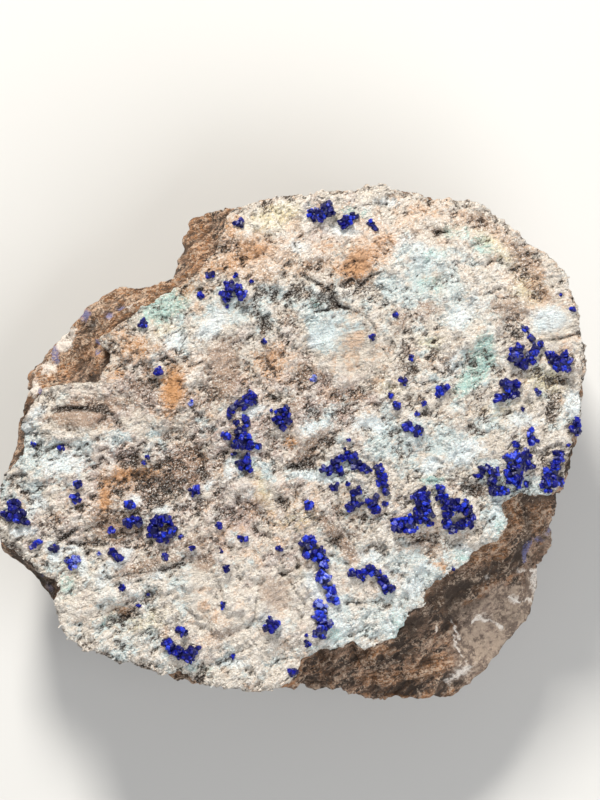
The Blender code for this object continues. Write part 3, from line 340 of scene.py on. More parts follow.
# Places where the azurite is a lighter blue, in the form of the stains
LIGHT_BLUE = (
    (3.1, -12.6, 0.9, 1.7, 10, 0.75), (20.6, -0.6, 1.2, 0.8, 0, 0.5), (23.6, -4.6, 1.4, 1.4, 0, 0.3),
    (20.2, -3.6, 1.0, 0.8, 0, 0.3), (-19.6, -11.3, 1.0, 0.8, 0, 0.35), (2.6, -15.3, 1.0, 1.2, 0, 0.6),
)


def paint(code):
    """Linear red, green and blue of a colour written as six hex digits."""
    parts = [int(code[i:i + 2], 16) / 255 for i in (0, 2, 4)]
    return tuple(p / 12.92 if p <= 0.04045 else ((p + 0.055) / 1.055) ** 2.4 for p in parts)


def colour(name, description, code):
    """A colour that a user can change."""
    return FloatVectorProperty(
        name=name, description=description, default=paint(code), size=3, min=0.0, max=1.0, subtype="COLOR"
    )


def length(name, description, millimetres):
    """A length that a user can change, kept in metres."""
    return FloatProperty(
        name=name, description=description, default=millimetres * MM, min=0.0, precision=5, unit="LENGTH"
    )


class CrustSettings(bpy.types.PropertyGroup):
    """Sizes and colours of the allophane crust."""

    cells: IntProperty(
        name="Cells", description="Cells along each side of the crust's grid", default=300, min=40, max=300
    )
    grains: IntProperty(name="Grains", description="Loose grains on the crust", default=5000, min=0, max=8000)
    lift: length("Lift", "Height of the fine surface above the plain solid", 0.15)
    crumbs: length("Crumbs", "Height of the small crumbs", 0.17)
    ledges: length("Ledges", "Height of the flaky ledges", 0.19)
    swell: length("Swell", "Height of the lumps", 0.30)
    ragged: length("Ragged edge", "How far the broken edge wanders", 0.24)
    cream: colour("Cream", "Main colour", "d5cabb")
    beige: colour("Beige", "Pinkish patches", "b9a297")
    peach: colour("Peach", "Light orange tints", "d3aa86")
    white: colour("White", "Bright grains and ridges", "f2ece3")
    sky: colour("Sky white", "Bright bluish patches", "dfeaec")
    pale_blue: colour("Pale blue", "Bluish areas", "bdd3d6")
    turquoise: colour("Turquoise", "Stronger blue-green stains", "8ac4bc")
    yellow: colour("Yellow", "Pale yellow tints", "dfd3a0")
    rust: colour("Rust", "Iron stains", "c2884f")
    tan: colour("Tan", "Brown patches", "927055")
    # Dark brown of the umber stains, used also as painted shade in hollows, slits and cracks
    umber: colour("Umber", "Dark hollows", "2c1f15")
    grey: colour("Grey", "Grey streaks", "8f8b85")


class RockSettings(bpy.types.PropertyGroup):
    """Sizes and colours of the host rock."""

    cuts: IntProperty(
        name="Cuts", description="Cuts of each edge of the plain solid", default=8, min=2, max=9
    )
    lumps: length("Lumps", "Height of the broken lumps", 0.55)
    grit: length("Grit", "Height of the fine grit", 0.16)
    # Dark limonite, used also as painted shade in hollows and in the painted shadow under the crust's edge
    dark: colour("Dark", "Shadowed limonite", "3d3026")
    brown: colour("Brown", "Main colour", "a5846c")
    ochre: colour("Ochre", "Orange-brown layers", "c0834e")
    quartz: colour("Quartz", "Grey quartz lenses", "968172")
    pale: colour("Pale", "Light grit", "d0b9a2")
    cream: colour("Cream", "White veins and bits", "f4eadf")
    violet: colour("Violet", "Violet-blue films", "7678a8")


class AzuriteSettings(bpy.types.PropertyGroup):
    """Sizes and colours of the azurite crystals."""

    crystal: length("Crystal", "Size of the small crystals", 0.41)
    shrink: length("Shrink", "How far the plain solids draw back under their coat", 0.24)
    crowd: FloatProperty(
        name="Crowd", description="Small crystals on each square millimetre", default=4.6, min=0.0
    )
    navy: colour("Navy", "Darkest blue", "040440")
    royal: colour("Royal", "Main blue", "090f80")
    bright: colour("Bright", "Lightest blue", "1c3acc")
    # Pale film and dust, used also for small pale specks that are partly painted glints
    dust: colour("Dust", "Pale film on some crystals", "8f98c4")


class StageSettings(bpy.types.PropertyGroup):
    """The camera, the lights and the floor."""

    distance: length("Camera distance", "From the display face to the camera", 500.0)
    field: length("Field", "Height of the picture at the display face", 72.0)
    key: FloatProperty(name="Key light", description="Power of the main light", default=4.5, unit="POWER")
    fill: FloatProperty(name="Fill light", description="Power of the soft fill", default=3.0, unit="POWER")
    sky: FloatProperty(name="Sky", description="Strength of the even light all round", default=0.28, min=0.0)
    floor: colour("Floor", "Colour of the plain floor", "c4c2be")


class Wire:
    """A socket of a material, with the arithmetic that shader maths needs."""

    def __init__(self, finish, socket):
        self.finish = finish
        self.socket = socket

    def maths(self, operation, *values):
        return self.finish.node("ShaderNodeMath", {"operation": operation}, *values)

    def __add__(self, other):
        return self.maths("ADD", self, other)

    def __sub__(self, other):
        return self.maths("SUBTRACT", self, other)

    def __rsub__(self, other):
        return self.maths("SUBTRACT", other, self)

    def __mul__(self, other):
        return self.maths("MULTIPLY", self, other)

    def __abs__(self):
        return self.maths("ABSOLUTE", self)

    __radd__ = __add__
    __rmul__ = __mul__

    def clamp(self):
        return self.finish.node("ShaderNodeClamp", {}, self)

    def step(self, low, high):
        """Smooth step from 0 at low to 1 at high."""
        return self.finish.node(
            "ShaderNodeMapRange", {"interpolation_type": "SMOOTHSTEP"}, self, low, high, 0.0, 1.0
        )


class Finish:
    """A material made of nodes round one Principled shader."""

    made = {}

    def __init__(self, name):
        self.made[name] = self
        self.material = bpy.data.materials.new(name)
        self.material.use_nodes = True
        self.tree = self.material.node_tree
        self.shader = self.tree.nodes["Principled BSDF"]
        self.base = None
        place = self.node("ShaderNodeTexCoord", {}, output="Object")
        self.place = self.vector("SCALE", place, Scale=1 / MM)

    def node(self, kind, settings, *values, output=None, **named):
        """Add a node: its settings first, then its sockets by place or by name. Returns one output."""
        node = self.tree.nodes.new(kind)
        for key, value in settings.items():
            setattr(node, key, value)
        for key, value in [*enumerate(values), *named.items()]:
            self.put(node.inputs[key], value)
        outputs = [o for o in node.outputs if o.enabled]
        return Wire(self, node.outputs[output] if output else outputs[0])

    def put(self, socket, value):
        """Link a wire to a socket, or set the socket's own value."""
        if isinstance(value, Wire):
            self.tree.links.new(value.socket, socket)
        else:
            socket.default_value = value

    def vector(self, operation, *values, **named):
        return self.node("ShaderNodeVectorMath", {"operation": operation}, *values, **named)

    def mask(self, name):
        """A value kept on the mesh's vertices."""
        return self.node("ShaderNodeAttribute", {"attribute_name": name}, output="Fac")

    def turned(self, place, turn):
        """A place turned back about Z, so that a pattern drawn there stands at turn degrees."""
        settings = {"rotation_type": "Z_AXIS"}
        return self.node("ShaderNodeVectorRotate", settings, Vector=place, Angle=math.radians(-turn))

    def grain(self, size, detail=3.0, seed=0.0, stretch=(1, 1, 1), rough=0.55, turn=0.0):
        """Noise from 0 to 1 whose features are about size millimetres across."""
        moved = self.vector("ADD", self.place, (seed * 7.3, seed * 3.1, seed * 5.7))
        if turn:
            moved = self.turned(moved, turn)
        drawn = self.vector("MULTIPLY", moved, tuple(1 / (size * s) for s in stretch))
        return self.node(
            "ShaderNodeTexNoise", {"noise_dimensions": "3D"}, output="Fac",
            Vector=drawn, Scale=1.0, Detail=detail, Roughness=rough,
        )

    def warped(self, size, amount):
        """The place, moved about by noise so that cells drawn there lose their regular look."""
        drawn = self.vector("SCALE", self.place, Scale=1 / size)
        push = self.node("ShaderNodeTexNoise", {}, output="Color", Vector=drawn, Scale=1.0, Detail=2.0)
        push = self.vector("SCALE", self.vector("SUBTRACT", push, (0.5, 0.5, 0.5)), Scale=amount)
        return self.vector("ADD", self.place, push)

    def cells(self, size, place, output="Distance"):
        """Distance to the nearest of scattered grains, or their random colour."""
        return self.node("ShaderNodeTexVoronoi", {}, output=output, Vector=place, Scale=1 / size)

    def mix(self, factor, low, high):
        """A colour between two colours."""
        node = self.tree.nodes.new("ShaderNodeMix")
        node.data_type = "RGBA"
        sockets = [s for s in node.inputs if s.enabled]
        for socket, value in zip(sockets, (factor, low, high)):
            if not isinstance(value, Wire) and socket.type == "RGBA":
                value = (*value, 1.0)
            self.put(socket, value)
        return Wire(self, next(s for s in node.outputs if s.enabled))

    def lay(self, tone, share):
        """Lay a colour over the base colour."""
        self.base = self.mix(share, self.base, tone)

    def coat(self, tone, here, low, high, share):
        """Lay a colour over the base colour where a value rises from low to high."""
        self.lay(tone, here.step(low, high) * share)

    def surface(self, **named):
        """Give the shader's sockets their values, Base_Color standing for Base Color."""
        for key, value in named.items():
            socket = self.shader.inputs[key.replace("_", " ")]
            if not isinstance(value, Wire) and socket.type == "RGBA":
                value = (*value, 1.0)
            self.put(socket, value)

    def bump(self, height, distance, strength):
        """A normal from a height, distance in millimetres."""
        return self.node(
            "ShaderNodeBump", {}, Strength=strength, Distance=distance * MM, Height=height, output="Normal"
        )


def merged_copy(node):
    """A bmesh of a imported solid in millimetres, its loose triangles joined."""
    bm = bmesh.new()
    bm.from_mesh(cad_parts[node].data)
    bmesh.ops.scale(bm, vec=(1 / MM,) * 3, verts=bm.verts)
    bmesh.ops.remove_doubles(bm, verts=bm.verts, dist=WELD)
    return bm


def tree_of(node):
    """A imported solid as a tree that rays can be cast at."""
    bm = merged_copy(node)
    tree = BVHTree.FromBMesh(bm)
    bm.free()
    return tree


def drop(tree, x, y, fallback):
    """Height of the first surface met from above, or a fallback."""
    hit = tree.ray_cast(Vector((x, y, ABOVE)), Vector((0.0, 0.0, -1.0)))[0]
    return hit.z if hit else fallback


def add_piece(name, mesh, finish, nodes=()):
    """Make a mesh an object of the specimen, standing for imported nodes."""
    piece = bpy.data.objects.new(name, mesh)
    bpy.context.scene.collection.objects.link(piece)
    mesh.materials.clear()
    mesh.materials.append(finish.material)
    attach(piece, "root")
    if nodes:
        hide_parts(*nodes)
    return piece


def in_batches(bm, items, build, size=60):
    """Build many small forms into a bmesh, a batch at a time so that it stays quick."""
    for start in range(0, len(items), size):
        batch = bmesh.new()
        batch.verts.layers.float.new("tone")
        for item in items[start:start + size]:
            build(batch, item)
        passing = bpy.data.meshes.new("batch")
        batch.to_mesh(passing)
        batch.free()
        bm.from_mesh(passing)
        bpy.data.meshes.remove(passing)
    return bm


def finished_mesh(name, bm):
    """Turn a bmesh in millimetres into a mesh in metres with its faces outwards."""
    bmesh.ops.recalc_face_normals(bm, faces=bm.faces)
    bmesh.ops.scale(bm, vec=(MM,) * 3, verts=bm.verts)
    mesh = bpy.data.meshes.new(name)
    bm.to_mesh(mesh)
    bm.free()
    return mesh


def vectors_of(mesh, name):
    """A vector of each vertex of a mesh, such as its normal."""
    vectors = np.empty(len(mesh.vertices) * 3, dtype=np.float32)
    mesh.vertices.foreach_get(name, vectors)
    return vectors.reshape(-1, 3)


def places_of(mesh):
    """Vertex places of a mesh in millimetres."""
    return vectors_of(mesh, "co").astype(float) / MM


def set_places(mesh, places):
    """Move the vertices of a mesh to places in millimetres."""
    mesh.vertices.foreach_set("co", (places * MM).astype(np.float32).ravel())
    mesh.update()


def keep_mask(mesh, name, values):
    """Keep one value for each vertex, for the material to read."""
    mask = mesh.attributes.new(name, "FLOAT", "POINT")
    mask.data.foreach_set("value", np.asarray(values, dtype=np.float32))


def mask_of(mesh, name):
    """The values kept on the vertices under a name."""
    values = np.empty(len(mesh.vertices), dtype=np.float32)
    mesh.attributes[name].data.foreach_get("value", values)
    return values


def smooth_step(low, high, values):
    """Smooth step from 0 at low to 1 at high."""
    share = np.clip((values - low) / (high - low), 0.0, 1.0)
    return share * share * (3 - 2 * share)


def laid(places, size, stretch, turn):
    """Places in units of size millimetres, turned about Z and drawn out along each axis."""
    c = math.cos(math.radians(turn))
    s = math.sin(math.radians(turn))
    x = places[:, 0] * c + places[:, 1] * s
    y = places[:, 1] * c - places[:, 0] * s
    return np.column_stack((x, y, places[:, 2])) / (size * np.array(stretch))


def fractal(places, size, octaves, seed, stretch=(1.0, 1.0, 1.0), turn=0.0):
    """Fractal noise at each place, about -1 to 1, its features size millimetres across."""
    spots = laid(places, size, stretch, turn) + (0.0, 0.0, seed)
    return np.array([noise.fractal(p, 0.9, 2.1, octaves) for p in spots.tolist()])


def grains(places, size, seed, stretch=(1.0, 1.0, 1.0), turn=0.0):
    """Distance from each place to the nearest of scattered grains, as a share of their size."""
    spots = laid(places, size, stretch, turn) + (seed, 0.0, 0.0)
    return np.array([noise.voronoi(p)[0][0] for p in spots.tolist()])


def stained(places, stains):
    """Strength of a list of soft-edged stains at each place."""
    total = np.zeros(len(places))
    for x, y, half_length, half_width, turn, strength in stains:
        c = math.cos(math.radians(turn))
        s = math.sin(math.radians(turn))
        u = ((places[:, 0] - x) * c + (places[:, 1] - y) * s) / half_length
        v = ((places[:, 1] - y) * c - (places[:, 0] - x) * s) / half_width
        total += strength * np.exp(-STAIN_FADE * (u * u + v * v))
    return np.clip(total, 0.0, STAIN_LIMIT)


def lined(places, width, points):
    """How near each place is to a line through points: 1 on it, 0 well away."""
    nearest = np.full(len(places), 1e9)
    for (x1, y1), (x2, y2) in zip(points, points[1:]):
        dx, dy = x2 - x1, y2 - y1
        along = ((places[:, 0] - x1) * dx + (places[:, 1] - y1) * dy) / (dx * dx + dy * dy)
        along = np.clip(along, 0.0, 1.0)
        gap = np.hypot(places[:, 0] - x1 - along * dx, places[:, 1] - y1 - along * dy)
        nearest = np.minimum(nearest, gap)
    return np.exp(-(nearest / width) ** 2)


def keep_stains(mesh, places):
    """Keep the strength of every stain and crack of the crust on a mesh."""
    flat = places * (1, 1, 0)
    for name, stains in STAINS.items():
        keep_mask(mesh, name, stained(flat, stains))
    cracked = np.zeros(len(places))
    for width, depth, *points in CRACKS:
        cracked = np.maximum(cracked, depth * 2.2 * lined(flat, width, points))
    keep_mask(mesh, "crack", cracked)


def soften(grid, cells):
    """Blur a grid of heights over a number of cells."""
    steps = np.arange(-3 * cells, 3 * cells + 1)
    weights = np.exp(-0.5 * (steps / cells) ** 2)
    weights /= weights.sum()
    padded = np.pad(grid, 3 * cells, mode="edge")
    rows = np.apply_along_axis(np.convolve, 0, padded, weights, mode="valid")
    return np.apply_along_axis(np.convolve, 1, rows, weights, mode="valid")


def silhouette(node):
    """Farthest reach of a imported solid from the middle, seen from above, in each direction."""
    bm = merged_copy(node)
    ends = np.array([[v.co[:2] for v in e.verts] for e in bm.edges])
    bm.free()
    p, q = ends[:, 0], ends[:, 1]
    reach = np.zeros(SECTORS)
    for i in range(SECTORS):
        angle = 2 * math.pi * i / SECTORS
        way = np.array((math.cos(angle), math.sin(angle)))
        side_p = p[:, 0] * way[1] - p[:, 1] * way[0]
        side_q = q[:, 0] * way[1] - q[:, 1] * way[0]
        crossed = side_p * side_q <= 0
        share = side_p[crossed] / np.where(side_p == side_q, 1.0, side_p - side_q)[crossed]
        met = p[crossed] + share[:, None] * (q[crossed] - p[crossed])
        reach[i] = (met @ way).max()
    return reach


def reach_at(reach, angles):
    """Reach of an outline at any angles."""
    spots = np.mod(angles / (2 * math.pi), 1.0) * len(reach)
    before = spots.astype(int) % len(reach)
    share = spots - np.floor(spots)
    return reach[before] * (1 - share) + reach[(before + 1) % len(reach)] * share


class CrustForm:
    """The crust's fine surface: a square grid drawn out to the crust's own outline."""

    # rings of the broken edge: pull towards the middle in millimetres, share of the way down
    WALL = ((-0.05, 0.14), (0.02, 0.38), (0.14, 0.66), (0.30, 1.0), (1.2, 1.15))
    RING_STEP = 0.01
    # how far the wall goes down into the rock, and its least height, in millimetres
    SUNK = 0.35
    THINNEST = 0.7
    # shares of the reach: rays stay inside the first, the edge wanders and is chipped past the others
    INSIDE = 0.985
    WANDERS_FROM = 0.9
    CHIPPED_FROM = 0.975
    # heights of the solids' faces where a ray meets none, in millimetres
    CRUST_FACE = 14.5
    ROCK_FACE = 12.5
    # cells over which the solid's facets are blurred, and those round a place that stands proud
    BLUR = 4
    AROUND = 5
    # gaps from an azurite solid between which the relief comes in, and the share that it lacks against one
    CALM_GAPS = (0.2, 0.7)
    CALMED = 0.85
    # shape of the flaky crumbs
    FLAKES = (1.45, 0.75, 1.0)
    # differences that are only rounding, in the square and at its edge
    ROUNDING = 1e-6
    EDGE_ROUNDING = 1e-4

    def __init__(self, settings):
        self.settings = settings
        self.cells = settings.cells
        self.reach = silhouette(CRUST)
        self.crust_tree = tree_of(CRUST)
        self.rock_tree = tree_of(ROCK)

    def sheet(self):
        """The grid with its edge extruded into rings and closed below, still a flat square."""
        bm = bmesh.new()
        bmesh.ops.create_grid(bm, x_segments=self.cells, y_segments=self.cells, size=1.0)
        edges = [e for e in bm.edges if e.is_boundary]
        for k in range(1, len(self.WALL) + 1):
            made = bmesh.ops.extrude_edge_only(bm, edges=edges)["geom"]
            verts = [g for g in made if isinstance(g, bmesh.types.BMVert)]
            grow = (1 + k * self.RING_STEP) / (1 + (k - 1) * self.RING_STEP)
            bmesh.ops.scale(bm, vec=(grow, grow, 1.0), verts=verts)
            fresh = set(verts)
            edges = [e for e in bm.edges if e.verts[0] in fresh and e.verts[1] in fresh]
        bmesh.ops.edgeloop_fill(bm, edges=edges)
        return bm

    def spread(self, u, v):
        """Share of the way round and ring of each place in the square."""
        half = np.maximum(np.abs(u), np.abs(v))
        safe = np.where(half > 0, half, 1.0)
        a, b = u / safe, v / safe
        full = 1 - self.ROUNDING
        right, top, left = a >= full, b >= full, a <= -full
        share = np.where(right, b + 1, np.where(top, 3 - a, np.where(left, 5 - b, 7 + a))) / 8
        return share, half

    def rim(self, share):
        """Places on the crust's outline at shares of the way round, from the lower right corner."""
        angles = -math.pi / 4 + 2 * math.pi * np.arange(SECTORS + 1) / SECTORS
        reach = reach_at(self.reach, angles)
        x, y = reach * np.cos(angles), reach * np.sin(angles)
        walked = np.concatenate(([0.0], np.cumsum(np.hypot(np.diff(x), np.diff(y)))))
        walked /= walked[-1]
        spots = np.mod(share, 1.0)
        return np.stack((np.interp(spots, walked, x), np.interp(spots, walked, y)), axis=1)

    def wander(self, rim):
        """Small wandering of the broken edge, in millimetres."""
        flat = np.column_stack((rim, np.zeros(len(rim))))
        ragged = self.settings.ragged / MM
        return ragged * (fractal(flat, 1.3, 4, 3.0) + 0.3 * fractal(flat, 0.4, 3, 9.0) - 0.3)

    def relief(self, places, near_crystal):
        """Height of the fine relief at each place of the top."""
        s = self.settings
        flat = places * (1, 1, 0)
        smooth, umber, tan = (np.clip(stained(flat, STAINS[k]), 0.0, 1.0) for k in ("smooth", "umber", "tan"))
        rugged = 0.45 + 0.55 * smooth_step(-0.35, 0.35, fractal(flat, 5.0, 2, 4.0))
        rugged *= 1 - 0.8 * smooth
        swell = s.swell / MM * fractal(flat, 2.6, 4, 11.0)
        stair = 3.2 * fractal(flat, 3.4, 3, 17.0, turn=25)
        ledges = s.ledges / MM * (np.floor(stair) + smooth_step(0.62, 0.9, stair - np.floor(stair)))
        crumbs = s.crumbs / MM * (0.55 - grains(flat, 0.85, 5.0, self.FLAKES, FLAKE_TURN)) * 1.4
        finer = 0.8 * s.crumbs / MM * (0.5 - grains(flat + 40.0, 0.45, 2.0, self.FLAKES, FLAKE_TURN))
        holes = smooth_step(0.12, 0.5, fractal(flat, 1.5, 3, 21.0)) * (1 - smooth)
        streaks = 0.2 * fractal(flat, 0.8, 3, 6.0, stretch=(5.0, 0.8, 1.0), turn=24)
        lower_left = smooth_step(4.0, 14.0, -0.6 * flat[:, 0] - 0.8 * flat[:, 1])
        fibres = 0.05 * fractal(flat, 0.5, 2, 8.0, stretch=(6.0, 0.8, 1.0), turn=6)
        height = swell + ledges + rugged * (crumbs + finer) + lower_left * streaks + smooth * fibres
        height -= 0.3 * holes
        height -= 0.35 * umber * (0.4 + grains(flat, 0.9, 7.0))
        height -= 0.15 * tan
        uneven = 0.8 + 0.5 * fractal(flat, 0.7, 2, 4.0)
        for width, depth, *points in CRACKS:
            height -= depth * lined(flat, width * uneven, points)
        return height * (1 - self.CALMED * near_crystal)

    def nearness(self, places):
        """How near each place is to an azurite solid: 1 against it, 0 where the relief is whole."""
        spots = []
        for name in AZURITE:
            bm = merged_copy(name)
            spots += [v.co.copy() for v in bm.verts]
            bm.free()
        tree = KDTree(len(spots))
        for i, spot in enumerate(spots):
            tree.insert((spot.x, spot.y, 0.0), i)
        tree.balance()
        gaps = np.array([tree.find((x, y, 0.0))[2] for x, y in places[:, :2].tolist()])
        return 1 - smooth_step(*self.CALM_GAPS, gaps)

    def drawn_out(self, share, half, ring):
        """Places of the square drawn out to the outline and laid on the solid, and the way out at each."""
        rim = self.rim(share)
        radius = np.hypot(rim[:, 0], rim[:, 1])
        edge = smooth_step(self.WANDERS_FROM, 1.0, np.minimum(half, 1.0))
        pull = np.array([0.0] + [pulled for pulled, _ in self.WALL])[ring]
        scale = np.minimum(half, 1.0) * (radius + edge * self.wander(rim) - pull) / radius
        inner = rim * np.minimum(half, self.INSIDE)[:, None]
        ground = np.array([drop(self.crust_tree, x, y, self.CRUST_FACE) for x, y in inner.tolist()])
        return np.column_stack((rim * scale[:, None], ground)), rim / radius[:, None]

    def raised(self, u, v, half, places, near):
        """Heights of the top with its relief, and how far each place stands proud of those round it."""
        cell = tuple(np.rint((w + 1) / 2 * self.cells).astype(int) for w in (v, u))
        grid = np.zeros((self.cells + 1, self.cells + 1))
        grid[cell] = places[:, 2]
        grid = soften(grid, self.BLUR)
        grid[cell] += self.settings.lift / MM + self.relief(places, near)
        chipped = smooth_step(self.CHIPPED_FROM, 1.0, half)
        grid[cell] -= chipped * (0.14 + 0.1 * fractal(places * (1, 1, 0), 0.8, 2, 1.0))
        proud = grid - soften(grid, self.AROUND)
        return grid[cell], proud[cell]

    def lower_wall(self, places, ring, share, on_rim):
        """Set the heights of the broken edge, from the rim of the top down into the rock."""
        order = on_rim[np.argsort(share[on_rim])]
        heights = np.interp(share, share[order], places[order, 2], period=1.0)
        for k, (_, down) in enumerate(self.WALL, start=1):
            chosen = ring == k
            spots = (places[chosen, :2] * self.INSIDE).tolist()
            floor = np.array([drop(self.rock_tree, x, y, self.ROCK_FACE) for x, y in spots]) - self.SUNK
            start = heights[chosen]
            places[chosen, 2] = start - np.maximum(start - floor, self.THINNEST) * down

    def mesh(self):
        """The finished mesh with the values that the material reads."""
        mesh = finished_mesh(CRUST, self.sheet())
        u, v = places_of(mesh)[:, :2].T
        share, half = self.spread(u, v)
        ring = np.rint((half - 1) / self.RING_STEP).clip(0).astype(int)
        places, outward = self.drawn_out(share, half, ring)
        near = self.nearness(places)
        top = ring == 0
        wall = ring > 0
        proud = np.zeros(len(places))
        places[top, 2], proud[top] = self.raised(u[top], v[top], half[top], places[top], near[top])
        self.lower_wall(places, ring, share, np.flatnonzero(np.abs(half - 1) < self.EDGE_ROUNDING))
        chips = 0.3 * fractal(places[wall], 0.9, 3, 14.0) + 0.12 - 0.3 * grains(places[wall], 0.7, 9.0)
        places[wall, :2] += outward[wall] * chips[:, None]
        set_places(mesh, places)
        keep_mask(mesh, "proud", proud)
        keep_mask(mesh, "wall", wall)
        keep_mask(mesh, "near_crystal", near)
        keep_stains(mesh, places)
        return mesh


def crust_finish(s):
    """Mottled, crumbly allophane: cream and beige, bluish areas, iron stains and dark hollows."""
    f = Finish("allophane")
    broad = f.grain(3.0, 3.0, 1.0)
    patch = f.grain(1.1, 4.0, 2.0, rough=0.65)
    fine = f.grain(0.4, 4.0, 3.0, rough=0.7)
    tiny = f.grain(0.2, 3.0, 4.0, rough=0.7)
    flakes = f.vector("MULTIPLY", f.turned(f.warped(0.45, 0.35), FLAKE_TURN), (0.7, 1.3, 1.0))
    crumb, crumb_tone = (f.cells(0.5, flakes, output) for output in ("Distance", "Color"))
    bit, bit_tone = (f.cells(0.27, flakes, output) for output in ("Distance", "Color"))
    proud, clean, smooth = (f.mask(name) for name in ("proud", "clean", "smooth"))
    calm = 1.0 - smooth * 0.75
    speckle = ((fine - 0.5) * 1.8 + (patch - 0.5) * 1.8 + (bit_tone - 0.5) * 0.5) * calm

    def stain(name, tone, reach, low, high, share):
        here = f.mask(name)
        f.coat(tone, here + speckle * reach * (here * 4.0).clamp(), low, high, share)

    # broad tints
    streak = f.grain(0.35, 3.0, 14.0, (2.6, 0.7, 1), 0.65, FLAKE_TURN)
    pinkish = f.mask("pink") * 0.8 + (broad - 0.5) * 2.0 + speckle * 0.4
    f.base = f.mix(pinkish.step(0.1, 0.7), s.cream, s.beige)
    greyish = f.grain(0.9, 4.0, 9.0) + (streak - 0.5) * 0.6 - clean * 0.12
    f.coat(s.grey, greyish, 0.46, 0.66, 0.6)
    peachy = f.grain(1.6, 4.0, 15.0, rough=0.65) + (fine - 0.5) * 0.35
    peachy = peachy + f.mask("peach") * 0.16 - f.mask("pale_blue") * 0.06
    f.coat(s.peach, peachy, 0.53, 0.67, 0.6)
    bluish = (f.grain(2.0, 4.0, 16.0, rough=0.65) - 0.5) * 3.0 + (streak - 0.5) * 0.8 + (fine - 0.5) * 0.5
    bluish = bluish + f.mask("pale_blue") - f.mask("peach") * 0.4 - smooth * 0.2
    f.coat(s.pale_blue, bluish, 0.2, 0.65, 0.75)

    # stains, bright crumbs and a painted highlight on proud ridges
    stain("yellow", s.yellow, 0.7, 0.1, 0.8, 0.6)
    fibre = f.grain(0.3, 3.0, 18.0, (3.5, 0.6, 1), 0.6, 6) * smooth
    f.coat(s.grey, fibre, 0.4, 0.6, 0.6)
    # Lighter where the surface stands proud of what is round it: a painted highlight on ridges and grains,
    # laid with the real light crumbs
    bright = crumb_tone * 0.35 + bit_tone * 0.65 + proud * 1.5 + (patch - 0.5) * 0.8
    f.coat(s.white, bright, 0.6, 0.9, calm * 0.5)
    stain("bright", s.sky, 0.6, 0.2, 0.65, 0.75)
    stain("turquoise", s.turquoise, 0.8, 0.15, 0.85, 0.7)
    stain("tan", s.tan, 0.8, 0.2, 0.7, 0.75)
    stain("rust", s.peach, 1.0, 0.05, 0.6, 0.7)
    stain("rust", s.rust, 1.1, 0.35, 1.0, 0.85)
    # Lighter where the clean stains lie: partly a cleaner crust, partly painted light
    f.lay(s.white, clean * 0.16)

    # painted shade in hollows, between crumbs, in slits and in cracks, laid with the real umber stains
    # Darker in the gaps between crumbs and where the surface lies below what is round it: painted shade
    dim = crumb + bit * 0.6 + (fine - 0.5) * 1.4 - proud * 2.2 + (broad - 0.5) + (streak - 0.5) * 0.8
    dim = (dim + f.mask("umber") * 0.7 - clean * 0.45 - f.mask("bright") * 0.4 - 0.03) * calm
    f.coat(s.tan, dim, 0.85, 1.5, 0.45)
    pits = (tiny - 0.5) * 2.6 + (bit - 0.4) * 0.8

    def slits(size, seed, turn, sharp):
        """Thin wavy lines where noise crosses its middle value."""
        wavy = f.grain(size, 4.0, seed, (1.9, 0.75, 1), 0.6, turn) - 0.5
        return (1.0 - abs(wavy) * sharp + pits * 0.4).step(0.25, 0.85)

    slit = slits(0.8, 21.0, 32, 20.0) * dim.step(0.75, 1.2)
    thin = slits(0.5, 27.0, 62, 24.0) * dim.step(0.6, 1.1)
    f.lay(s.tan, slits(0.4, 35.0, 40, 20.0) * calm * 0.35)
    f.lay(s.umber, slit * 0.85)
    f.lay(s.umber, thin * 0.75)
    f.coat(s.umber, dim + pits, 1.45, 1.9, 0.8)
    # Cracks and the lines under ledges painted umber: painted shade
    f.coat(s.umber, f.mask("crack") + pits * 0.3, 0.25, 0.8, 0.75)
    # Small white specks: partly bright grains, partly painted glints
    white_specks_and_glints = f.grain(0.16, 2.0, 12.0, rough=0.7) - pits * 0.1
    f.coat(s.white, white_specks_and_glints, 0.53, 0.62, (1.0 - f.mask("rust") * 0.7) * calm * 0.75)

    height = (1.0 - crumb) * 0.5 + (1.0 - bit) * 0.3 + fine * 0.6 + tiny * 0.8 + streak * 0.5
    height = height - slit * 0.5 - thin * 0.4 + fibre * 1.2
    f.surface(Base_Color=f.base, Roughness=0.6 + fine * 0.3, IOR=1.48, Normal=f.bump(height, 0.44, 0.95))
    return f


class SPECIMEN_OT_crust(bpy.types.Operator):
    """Make the allophane crust"""

    bl_idname = "specimen.crust"
    bl_label = "Allophane crust"

    def execute(self, context):
        settings = context.scene.specimen_crust
        form = CrustForm(settings)
        mesh = form.mesh()
        mesh.shade_smooth()
        add_piece("crust_surface", mesh, crust_finish(settings), [CRUST])
        return {"FINISHED"}


